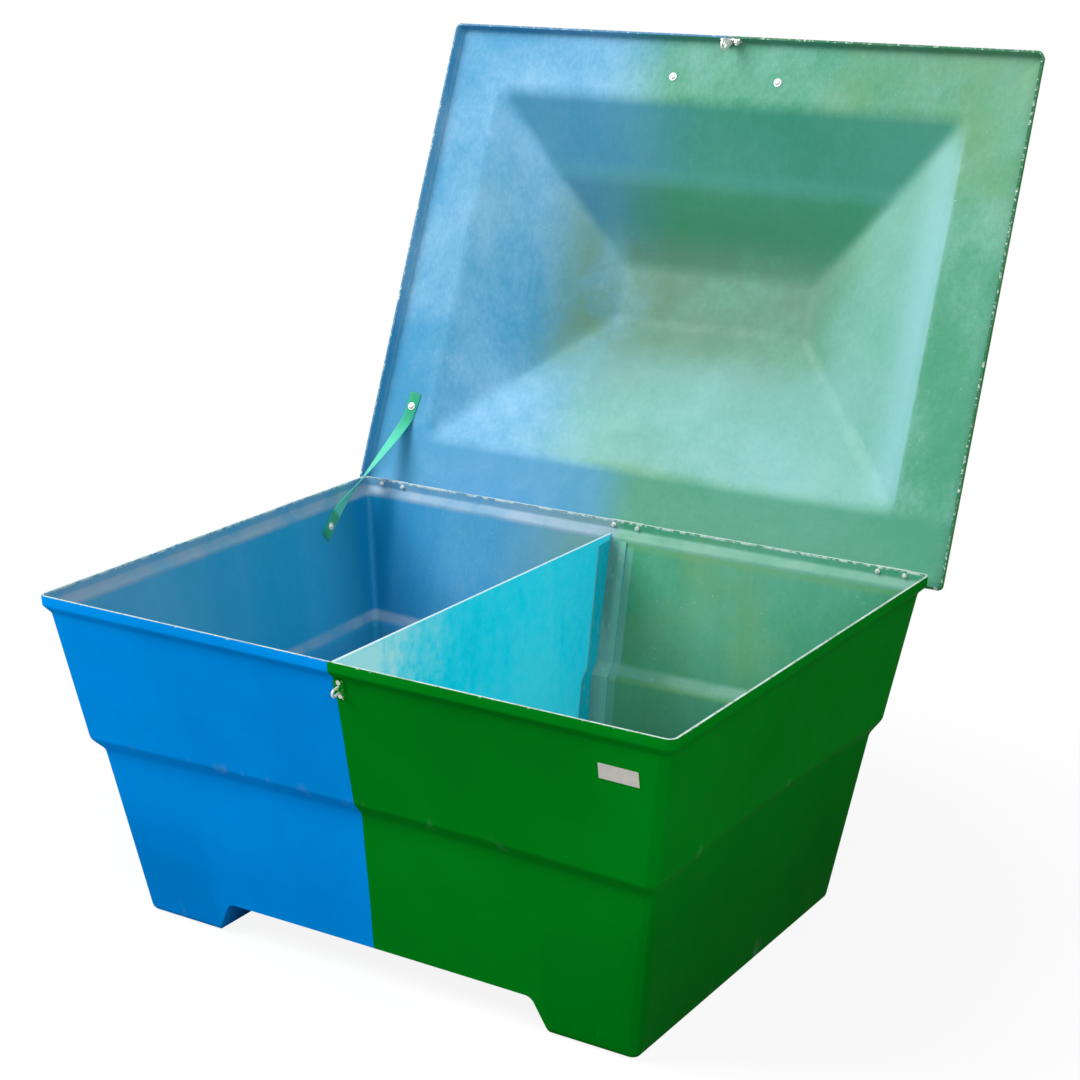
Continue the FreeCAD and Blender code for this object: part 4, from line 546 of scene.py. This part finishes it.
def zinc_plate(name, painted=False):
    """Zinc-plated steel with a dull bloom and fine scratches, its flat face painted over if so wanted."""
    made = Finish(name, Metallic=0.3, Specular_IOR_Level=0.6)
    bloom = made.noise(90, 6, 0.65)
    stain = made.patches((45, 4, 0.6), 0.6, 0.74, 0, 0.45)
    skin = made.mix((bloom, 0.38, 0.68), made.colours.steel, (0.66, 0.67, 0.67))
    skin = made.mix(stain, skin, (0.42, 0.36, 0.28))
    scratch = made.noise(900, 3, 0.7, (1, 1, 0.08))
    shine = made.calc("ADD", made.between(bloom, 0.3, 0.7, 0.24, 0.44),
                      made.between(scratch, 0.5, 0.7, 0, 0.1))
    if painted:
        wall = made.node("ShaderNodeVectorMath", {0: made.place, 1: STAPLE_FACING}, operation="DOT_PRODUCT")
        flat = made.between(wall.outputs["Value"], STAPLE_FACE + 0.0008, STAPLE_FACE + 0.0003)
        covered = made.times(flat, made.patches((260, 4, 0.6), 0.6, 0.66, 1, 0))
        coat = made.mix((made.axis("X"), -0.0005, 0.0005), made.colours.blue_coat, made.colours.green_coat)
        skin = made.mix(covered, skin, coat)
        bare = made.rest_of(covered)
        made.feed("Metallic", made.times(bare, 0.3))
        made.feed("Specular IOR Level", made.times(bare, 0.6))
    return made.paint(skin, shine, made.bump(scratch, 0.00006, 0.5))


def handle_plastic():
    """Black moulded plastic with a fine leathery grain, polished where it is held."""
    made = Finish("handle_plastic", Specular_IOR_Level=0.5)
    grain = made.node("ShaderNodeTexVoronoi", {"Vector": made.place, "Scale": 900.0}).outputs["Distance"]
    held = made.between(made.calc("ABSOLUTE", made.axis("X")), 0.09, 0.03)
    dust = made.patches((60, 5, 0.7), 0.6, 0.78, 0, 0.25)
    skin = made.mix(made.patches((25, 4, 0.6), 0.35, 0.7), made.colours.handle, (0.03, 0.031, 0.032))
    skin = made.mix(dust, skin, (0.1, 0.1, 0.095))
    return made.paint(skin, made.between(held, 0, 1, 0.52, 0.34), made.bump(grain, 0.0003, 0.5))


def bare_label():
    """The label's plate, left bare: off-white, a little yellowed and scuffed at its edges."""
    made = Finish("bare_label", Specular_IOR_Level=0.4)
    clouds = made.patches((55, 5, 0.6), 0.35, 0.7)
    scuffs = made.patches((420, 4, 0.7, (0.2, 1, 1)), 0.62, 0.74, 0, 0.4)
    skin = made.mix(clouds, made.colours.label, (0.68, 0.66, 0.59))
    skin = made.mix(scuffs, skin, (0.48, 0.5, 0.49))
    return made.paint(skin, made.between(clouds, 0, 1, 0.36, 0.5),
                      made.bump(made.noise(300, 3, 0.6), 0.0001, 0.6))


# Shells: rings of edges, raised one from the next

CORNER_STEPS = 8
SIDE_STEPS = 40
RING_COUNT = 4 * (CORNER_STEPS + SIDE_STEPS)


def ring_outline(half_x, half_y, corner, level, bow_x=0.0, bow_y=0.0, middle_y=0.0):
    """Places round a level rounded rectangle, anticlockwise from the right end of the front."""
    places = []
    for turn, side in enumerate((-1, 1)):
        centre = Vector((half_x - corner, side * (half_y - corner), 0))
        for step in range(CORNER_STEPS):
            angle = math.radians(90) * (turn - 1 + step / CORNER_STEPS)
            places.append(centre + corner * Vector((math.cos(angle), math.sin(angle), 0)))
        for step in range(SIDE_STEPS):
            share = 2 * step / SIDE_STEPS - 1
            swell = 1 - share * share
            places.append(Vector((
                (half_x - bow_x * swell, share * (half_y - corner), 0),
                (-share * (half_x - corner), half_y - bow_y * swell, 0),
            )[turn]))
    places += [-place for place in places]
    return [place + Vector((0, middle_y, level)) for place in places]


def of_kind(items, kind):
    return [item for item in items if isinstance(item, kind)]


def raise_rings(bm, count):
    """Gives closed rings of edges, each extruded from the last, with their vertices by number."""
    number = bm.verts.layers.int.new("number")
    verts = bmesh.ops.create_circle(bm, cap_ends=False, segments=count, radius=1.0)["verts"]
    for index, vert in enumerate(verts):
        vert[number] = index
    edges = list(bm.edges)
    while True:
        yield edges, {vert[number]: vert for vert in verts}
        made = bmesh.ops.extrude_edge_only(bm, edges=edges)["geom"]
        verts = set(of_kind(made, bmesh.types.BMVert))
        edges = [edge for edge in of_kind(made, bmesh.types.BMEdge) if verts.issuperset(edge.verts)]


def lay_rings(bm, outlines):
    """Lays rings of edges on the outlines, each extruded from the one before."""
    rings = []
    for places, (edges, verts) in zip(outlines, raise_rings(bm, RING_COUNT)):
        for index, vert in verts.items():
            vert.co = places[index]
        rings.append(edges)
    return rings


def soften(bm, rings, offset, segments=4):
    """Rounds whole rings of edges."""
    edges = [edge for ring in rings for edge in ring if edge.is_valid]
    bmesh.ops.bevel(bm, geom=edges, offset=offset, offset_type="OFFSET", segments=segments, profile=0.5,
                    affect="EDGES", clamp_overlap=True, material=-1)


def close_ends(bm):
    """Fills the open rings at the two ends of a shell or strap."""
    bmesh.ops.holes_fill(bm, edges=[edge for edge in bm.edges if edge.is_boundary], sides=0)


def new_object(name, data):
    piece = bpy.data.objects.new(name, data)
    bpy.context.scene.collection.objects.link(piece)
    return piece


def as_object(bm, name, materials=()):
    mesh = bpy.data.meshes.new(name)
    bm.to_mesh(mesh)
    bm.free()
    for item in materials:
        mesh.materials.append(item)
    return new_object(name, mesh)


def as_skin(bm, name, index):
    """A closed piece whose faces look outwards and share one place in the tub's list of finishes."""
    bmesh.ops.recalc_face_normals(bm, faces=bm.faces)
    for face in bm.faces:
        face.material_index = index
    return as_object(bm, name)


def apply_modifiers(piece):
    """Makes the modifiers' result the piece's own mesh."""
    bpy.context.view_layer.update()
    graph = bpy.context.evaluated_depsgraph_get()
    mesh = bpy.data.meshes.new_from_object(piece.evaluated_get(graph))
    piece.modifiers.clear()
    piece.data = mesh


def smooth_shading(piece, limit=32.0):
    """Smooth faces, with edges sharper than the limit left hard."""
    bm = bmesh.new()
    bm.from_mesh(piece.data)
    bmesh.ops.remove_doubles(bm, verts=bm.verts, dist=1e-6)
    for face in bm.faces:
        face.smooth = True
    for edge in bm.edges:
        edge.smooth = len(edge.link_faces) == 2 and edge.calc_face_angle(0.0) < math.radians(limit)
    bm.to_mesh(piece.data)
    bm.free()


def tub_skin(skin, index):
    """The tub's outer or inner skin as a closed piece, drawn in by skin from its outside."""
    sizes = bpy.context.scene.gritbin_sizes
    band_foot = RIM_TOP - sizes.band_height
    shoulder = band_foot - sizes.joggle_height
    wall, rim = sizes.wall_corner - skin, sizes.rim_corner - skin
    joggle_lift, step_lift = 0.45 * skin, 0.35 * skin
    band_draft = 0.0008
    floor_share = skin / sizes.step_level
    base_x = sizes.base_end + (sizes.step_end - sizes.base_end) * floor_share
    base_y = sizes.base_face + (sizes.step_face - sizes.base_face) * floor_share

    def lay(inset_x, inset_y, corner, level, bow_x=0.0, bow_y=0.0):
        half_x, half_y = TUB_HIGH.x - inset_x - skin, TUB_HIGH.y - inset_y - skin
        return ring_outline(half_x, half_y, corner, level, bow_x, bow_y)

    bm = bmesh.new()
    base, step, waist, joggle, band, _ = lay_rings(bm, (
        lay(base_x, base_y, wall, skin),
        lay(sizes.step_end, sizes.step_face, wall, sizes.step_level + step_lift,
            sizes.end_bow, sizes.face_bow),
        lay(sizes.waist_end, sizes.waist_face, wall, sizes.waist_level + step_lift,
            sizes.end_bow, sizes.face_bow),
        lay(sizes.shoulder_end, sizes.shoulder_face, wall, shoulder + joggle_lift,
            sizes.end_bow_top, sizes.face_bow_top),
        lay(band_draft, band_draft, rim, band_foot + joggle_lift),
        lay(0, 0, rim, RIM_TOP + skin),
    ))
    close_ends(bm)
    soften(bm, [base], sizes.base_soft - skin)
    soften(bm, [step, waist], sizes.waist_soft, 3)
    soften(bm, [joggle, band], sizes.rim_soft, 3)
    return as_skin(bm, "skin_%d" % index, index)


def arc(x, z, radius, begin, swing, steps=6):
    """Places round part of a circle in the channel's section."""
    angles = [begin + swing * step / steps for step in range(steps + 1)]
    return [(x + radius * math.cos(angle), z + radius * math.sin(angle)) for angle in angles]


def channel_tool(skin, index):
    """A bar of the fork channel's section, grown by skin, longer than the tub is deep."""
    sizes = bpy.context.scene.gritbin_sizes
    lean = math.atan((sizes.channel_width - sizes.channel_roof) / 2 / sizes.channel_height)
    swing = math.radians(90) - lean
    run = math.tan(swing / 2)
    lip, corner = sizes.channel_lip, sizes.channel_corner
    lip_x, roof_x = sizes.channel_width / 2 + lip * run, sizes.channel_roof / 2 - corner * run
    right = [(lip_x, -lip)]
    right += arc(lip_x, lip, lip - skin, math.radians(270), -swing)
    right += arc(roof_x, sizes.channel_height - corner, corner + skin, lean, swing)
    outline = right + [(-x, z) for x, z in reversed(right)]
    reach = TUB_HIGH.y * 1.5
    bm = bmesh.new()
    face = bm.faces.new([bm.verts.new((x, -reach, z)) for x, z in outline])
    made = bmesh.ops.extrude_face_region(bm, geom=[face])["geom"]
    bmesh.ops.translate(bm, vec=(0, 2 * reach, 0), verts=of_kind(made, bmesh.types.BMVert))
    return as_skin(bm, "channel_%d" % index, index)


def cut_away(piece, tool):
    """Cuts one closed piece with another, which is then removed."""
    cut = piece.modifiers.new("cut", "BOOLEAN")
    cut.operation = "DIFFERENCE"
    cut.solver = "EXACT"
    cut.object = tool
    apply_modifiers(piece)
    bpy.data.objects.remove(tool)


def dress(nodes, material):
    """Gives CAD nodes a finish through their slots."""
    for name in nodes:
        piece = frame["nodes"][name]
        if not piece.material_slots:
            piece.data.materials.append(material)
        for slot in piece.material_slots:
            slot.material = material


class GRITBIN_OT_tub(bpy.types.Operator):
    """Models the tub's shell with its soft creases and paints its outside, inside and trimmed edge"""

    bl_idname = "gritbin.tub"
    bl_label = "Tub Shell"

    def execute(self, context):
        sizes = context.scene.gritbin_sizes
        shell = tub_skin(0.0, 0)
        cut_away(shell, channel_tool(0.0, 0))
        hollow = tub_skin(sizes.laminate, 1)
        cut_away(hollow, channel_tool(sizes.laminate, 1))
        for material in (gelcoat(), tub_inside(), trimmed_edge("rim_edge", (0.25, 0.5))):
            shell.data.materials.append(material)
        cut_away(shell, hollow)
        shell.name = "tub_shell"
        sawn = 2
        for face in shell.data.polygons:
            if face.normal.z > 0.9 and face.center.z > RIM_TOP - 0.001:
                face.material_index = sawn
        smooth_shading(shell)
        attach(shell, "tub")
        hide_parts("tub")
        return {"FINISHED"}


class GRITBIN_OT_lid(bpy.types.Operator):
    """Models the lid's shell, tray and raised hip, closed, then turns it open about the hinge"""

    bl_idname = "gritbin.lid"
    bl_label = "Lid Shell"

    def execute(self, context):
        sizes = context.scene.gritbin_sizes
        top = RIM_TOP + sizes.seat_gap + sizes.laminate
        raw = top - sizes.skirt_depth
        half_x = TUB_HIGH.x + sizes.lid_end_overhang
        front = TUB_LOW.y - sizes.lid_front_overhang
        back = TUB_HIGH.y + sizes.lid_back_overhang
        half_y, middle = (back - front) / 2, (back + front) / 2
        draft, draw = sizes.skirt_draft, sizes.break_draw
        share = sizes.break_rise / sizes.hip_rise
        foot_x, foot_y = half_x - sizes.hip_end_margin, half_y - sizes.hip_face_margin
        crown_x, crown_y = sizes.crown_width / 2, sizes.crown_depth / 2
        bm = bmesh.new()
        _, edge, foot, crease, crown = lay_rings(bm, (
            ring_outline(half_x, half_y, sizes.lid_corner, raw, middle_y=middle),
            ring_outline(half_x - draft, half_y - draft / 2, sizes.lid_corner - draft, top,
                         middle_y=middle + draft / 2),
            ring_outline(foot_x, foot_y, sizes.hip_corner, top, middle_y=middle),
            ring_outline(foot_x + (crown_x - foot_x) * share, foot_y + (crown_y - foot_y) * share - draw / 2,
                         sizes.hip_corner + (sizes.crown_corner - sizes.hip_corner) * share,
                         top + sizes.break_rise, middle_y=middle + draw / 2),
            ring_outline(crown_x, crown_y, sizes.crown_corner, top + sizes.hip_rise, middle_y=middle),
        ))
        bmesh.ops.contextual_create(bm, geom=crown)
        soften(bm, [edge], sizes.lid_edge)
        soften(bm, [foot], sizes.hip_soft)
        soften(bm, [crease, crown], sizes.crown_soft)
        bmesh.ops.recalc_face_normals(bm, faces=bm.faces)
        if sum(face.normal.z * face.calc_area() for face in bm.faces) < 0:
            bmesh.ops.reverse_faces(bm, faces=bm.faces)
        bmesh.ops.rotate(bm, cent=HINGE, matrix=Matrix.Rotation(-OPENING, 3, "X"), verts=bm.verts)
        finishes = (lid_coat(), lid_inside(), trimmed_edge("lid_edge", (0.52, 0.64)))
        shell = as_object(bm, "lid_shell", finishes)
        wall = shell.modifiers.new("wall", "SOLIDIFY")
        wall.thickness = sizes.laminate
        wall.offset = -1.0
        wall.use_even_offset = True
        wall.use_quality_normals = True
        wall.material_offset = 1
        wall.material_offset_rim = 2
        apply_modifiers(shell)
        smooth_shading(shell)
        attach(shell, "lid")
        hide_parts("lid")
        return {"FINISHED"}


class GRITBIN_OT_divider(bpy.types.Operator):
    """Paints the divider panel and the strips that bond it in"""

    bl_idname = "gritbin.divider"
    bl_label = "Divider"

    def execute(self, context):
        dress(["divider_panel"], divider_coat())
        dress(["divider_bond_strips"], bonding_strip())
        return {"FINISHED"}


def strap_end(node, facing, heading):
    """Middle of the webbing under a bolt's washer, with its heading and the direction across it."""
    sizes = bpy.context.scene.gritbin_sizes
    washer_gap = 0.0006
    low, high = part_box(node)
    facing = facing.normalized()
    heading = (heading - facing * heading.dot(facing)).normalized()
    place = (low + high) / 2 - facing * (sizes.strap_thickness / 2 + washer_gap)
    return place, heading, facing.cross(heading).normalized()


def strap_route():
    """Places along the webbing, each with its heading and the direction across it."""
    sizes = bpy.context.scene.gritbin_sizes
    first, foot_heading, foot_across = strap_end(
        "strap_tub_washer", Vector((0.983, 0.014, 0.184)), Vector((-0.127, 0.777, 0.617)))
    last, head_heading, head_across = strap_end(
        "strap_lid_washer", Matrix.Rotation(-OPENING, 3, "X") @ Vector((0, 0, -1)),
        Vector((0.141, 0.371, 0.918)))
    if foot_across.dot(head_across) > 0:
        head_across = -head_across
    leaving = first + foot_heading * sizes.strap_tub_rest
    landing = last - head_heading * sizes.strap_lid_rest
    span = landing - leaving
    foot_pull = foot_heading * (span.length * sizes.strap_pull)
    head_pull = head_heading * (span.length * sizes.strap_pull)
    twist_haste = 0.72
    route = [(first - foot_heading * sizes.strap_tail, foot_heading, foot_across),
             (first, foot_heading, foot_across)]
    for step in range(sizes.strap_steps + 1):
        # s runs from nought, where the webbing leaves the wall, to one, where it lies flat on the lid
        s = step / sizes.strap_steps
        place = (leaving * (2 * s ** 3 - 3 * s ** 2 + 1) + foot_pull * (s ** 3 - 2 * s ** 2 + s)
                 + landing * (3 * s ** 2 - 2 * s ** 3) + head_pull * (s ** 3 - s ** 2))
        heading = (span * (6 * s - 6 * s ** 2) + foot_pull * (3 * s ** 2 - 4 * s + 1)
                   + head_pull * (3 * s ** 2 - 2 * s))
        eased = s ** twist_haste
        turn = eased * eased * (3 - 2 * eased) * math.pi / 2
        route.append((place, heading, foot_across * math.cos(turn) + head_across * math.sin(turn)))
    route += [(last, head_heading, head_across),
              (last + head_heading * sizes.strap_tail, head_heading, head_across)]
    return route, leaving, landing


# Half of the webbing's section in half widths and half thicknesses, from its left edge along its underside
HALF_SECTION = ((-1, 0), (-0.985, -0.6), (-0.94, -0.9), (-0.5, -1), (0, -1), (0.5, -1), (0.94, -0.9),
                (0.985, -0.6))


class GRITBIN_OT_strap(bpy.types.Operator):
    """Models the webbing that holds the lid, flat at both bolts and twisted between them"""

    bl_idname = "gritbin.strap"
    bl_label = "Webbing Strap"

    def execute(self, context):
        sizes = context.scene.gritbin_sizes
        route, leaving, landing = strap_route()
        half, thick = sizes.strap_width / 2, sizes.strap_thickness / 2
        section = [(sign * half * x, sign * thick * y) for sign in (1, -1) for x, y in HALF_SECTION]
        bm = bmesh.new()
        travel = bm.verts.layers.float_vector.new("route")
        run, before = 0.0, route[0][0]
        for (place, heading, across), (_, verts) in zip(route, raise_rings(bm, len(section))):
            run += (place - before).length
            before = place
            heading = heading.normalized()
            side = (across - heading * across.dot(heading)).normalized()
            normal = heading.cross(side)
            for index, vert in verts.items():
                x, y = section[index]
                vert.co = place + side * x + normal * y
                vert[travel] = Vector((run, x, y))
        close_ends(bm)
        bmesh.ops.recalc_face_normals(bm, faces=bm.faces)
        strap = as_object(bm, "webbing_strap", [woven_webbing()])
        strap.data.shade_smooth()
        leaving.lerp(landing, sizes.strap_held)
        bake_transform(strap)
        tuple(leaving)
        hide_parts("restraint_strap")
        return {"FINISHED"}


class GRITBIN_OT_steelwork(bpy.types.Operator):
    """Plates the hinges, the strap's bolts, the staple, the locking tab and all fasteners"""

    bl_idname = "gritbin.steelwork"
    bl_label = "Steelwork"

    def execute(self, context):
        fixings = HINGE_FIXINGS + STRAP_FIXINGS + HANDLE_FIXINGS
        dress(HINGE_NODES + LOCK_NODES + fixings, zinc_plate("zinc_plate"))
        dress(["staple"], zinc_plate("staple_plate", painted=True))
        return {"FINISHED"}


class GRITBIN_OT_handle(bpy.types.Operator):
    """Finishes the moulded handle on the lid"""

    bl_idname = "gritbin.handle"
    bl_label = "Lid Handle"

    def execute(self, context):
        dress(["lid_handle"], handle_plastic())
        return {"FINISHED"}


class GRITBIN_OT_label(bpy.types.Operator):
    """Finishes the bare label plate on the front"""

    bl_idname = "gritbin.label"
    bl_label = "Label Plate"

    def execute(self, context):
        dress(["label_plate"], bare_label())
        return {"FINISHED"}


class GRITBIN_OT_stage(bpy.types.Operator):
    """Lays the floor, hangs the lamps, lights the world and sets the camera"""

    bl_idname = "gritbin.stage"
    bl_label = "Stage"

    def execute(self, context):
        lay_floor()
        hang_lamp("key", (-4.3, -2.7, 5.4), size=4.6, power=540.0)
        hang_lamp("fill", (4.0, -3.0, 4.2), size=4.0, power=175.0)
        light_world(context)
        set_camera(context)
        context.scene.view_settings.view_transform = "Standard"
        return {"FINISHED"}


def seen_plainly(tree):
    """One where the camera looks straight at a surface, or sees it in metal or through glass."""
    path = tree.nodes.new("ShaderNodeLightPath")
    seen = path.outputs["Is Camera Ray"]
    for ray in ("Is Glossy Ray", "Is Transmission Ray"):
        wider = tree.nodes.new("ShaderNodeMath")
        wider.operation = "MAXIMUM"
        tree.links.new(seen, wider.inputs[0])
        tree.links.new(path.outputs[ray], wider.inputs[1])
        seen = wider.outputs[0]
    return seen


def lay_floor():
    """A wide plain floor that looks white and keeps the bin's shadow close round it."""
    bm = bmesh.new()
    bmesh.ops.create_grid(bm, x_segments=2, y_segments=2, size=60.0)
    made = Finish("plain_floor", Roughness=0.8, Specular_IOR_Level=0.2)
    direct = made.node("ShaderNodeLightPath").outputs["Is Camera Ray"]
    dust = made.patches((3.0, 5.0, 0.6), 0.3, 0.7, 0.0, 0.03)
    made.paint(made.mix(direct, made.colours.floor, made.mix(dust, (1, 1, 1), (0.9, 0.9, 0.9))))
    white = made.node("ShaderNodeEmission", {"Color": (1, 1, 1, 1), "Strength": 1.0}).outputs[0]
    away = made.node("ShaderNodeVectorMath", {0: made.place}, operation="LENGTH").outputs["Value"]
    share = made.times((away, 0.7, 1.6, 0.89, 1.0), seen_plainly(made.tree))
    blend = made.node("ShaderNodeMixShader", {0: share, 1: made.shader.outputs[0], 2: white})
    made.tree.links.new(blend.outputs[0], made.tree.nodes["Material Output"].inputs["Surface"])
    as_object(bm, "floor", [made.material])


def hang_lamp(name, place, size, power):
    """A square soft lamp that faces the middle of the bin."""
    lamp = bpy.data.lights.new(name, "AREA")
    lamp.size = size
    lamp.energy = power
    piece = new_object(name, lamp)
    target = (CAD_BOX[0] + CAD_BOX[1]) / 2
    piece.location = place
    piece.rotation_euler = (target - Vector(place)).to_track_quat("-Z", "Y").to_euler()


def light_world(context):
    """A soft sky that is plain white where the camera looks past the bin."""
    world = bpy.data.worlds.new("studio")
    context.scene.world = world
    world.use_nodes = True
    tree = world.node_tree
    sky, white = tree.nodes["Background"], tree.nodes.new("ShaderNodeBackground")
    for light, tone, strength in ((sky, (0.92, 0.96, 1.0, 1.0), 0.27), (white, (1, 1, 1, 1), 1.0)):
        light.inputs["Color"].default_value = tone
        light.inputs["Strength"].default_value = strength
    blend = tree.nodes.new("ShaderNodeMixShader")
    tree.links.new(seen_plainly(tree), blend.inputs[0])
    tree.links.new(sky.outputs[0], blend.inputs[1])
    tree.links.new(white.outputs[0], blend.inputs[2])
    tree.links.new(blend.outputs[0], tree.nodes["World Output"].inputs["Surface"])


def set_camera(context):
    """The photograph's viewpoint, with its square frame shifted down a little."""
    yaw, pitch, roll = math.radians(32.05), math.radians(-14.13), math.radians(0.27)
    ahead = Vector((-math.sin(yaw) * math.cos(pitch), math.cos(yaw) * math.cos(pitch), math.sin(pitch)))
    level = Vector((math.cos(yaw), math.sin(yaw), 0))
    above = level.cross(ahead)
    right = level * math.cos(roll) + above * math.sin(roll)
    up = above * math.cos(roll) - level * math.sin(roll)
    eye = (2.00615, -3.05287, 1.75258)
    data = bpy.data.cameras.new("photo_view")
    data.sensor_width = 36.0
    data.lens = 75.845
    data.shift_y = -0.0926
    camera = new_object("photo_view", data)
    turn = Matrix((right, up, -ahead)).transposed()
    camera.matrix_world = Matrix.Translation(eye) @ turn.to_4x4()
    context.scene.camera = camera


class GRITBIN_PT_panel(bpy.types.Panel):
    """Lists the parts of the bin"""

    bl_idname = "GRITBIN_PT_panel"
    bl_label = "Grit Salt Bin"
    bl_space_type = "VIEW_3D"
    bl_region_type = "UI"
    bl_category = "Grit Bin"

    def draw(self, context):
        for operator in OPERATORS:
            self.layout.operator(operator.bl_idname)


OPERATORS = (
    GRITBIN_OT_tub, GRITBIN_OT_lid, GRITBIN_OT_divider, GRITBIN_OT_strap, GRITBIN_OT_steelwork,
    GRITBIN_OT_handle, GRITBIN_OT_label, GRITBIN_OT_stage,
)
CLASSES = (GRITBIN_PG_sizes, GRITBIN_PG_colours) + OPERATORS + (GRITBIN_PT_panel,)


def register():
    for item in CLASSES:
        bpy.utils.register_class(item)
    bpy.types.Scene.gritbin_sizes = PointerProperty(type=GRITBIN_PG_sizes)
    bpy.types.Scene.gritbin_colours = PointerProperty(type=GRITBIN_PG_colours)


def unregister():
    del bpy.types.Scene.gritbin_sizes
    del bpy.types.Scene.gritbin_colours
    for item in reversed(CLASSES):
        bpy.utils.unregister_class(item)


def main():
    register()
    bpy.ops.gritbin.tub()
    bpy.ops.gritbin.lid()
    bpy.ops.gritbin.divider()
    bpy.ops.gritbin.strap()
    bpy.ops.gritbin.steelwork()
    bpy.ops.gritbin.handle()
    bpy.ops.gritbin.label()
    bpy.ops.gritbin.stage()


if __name__ == "__main__":
    main()
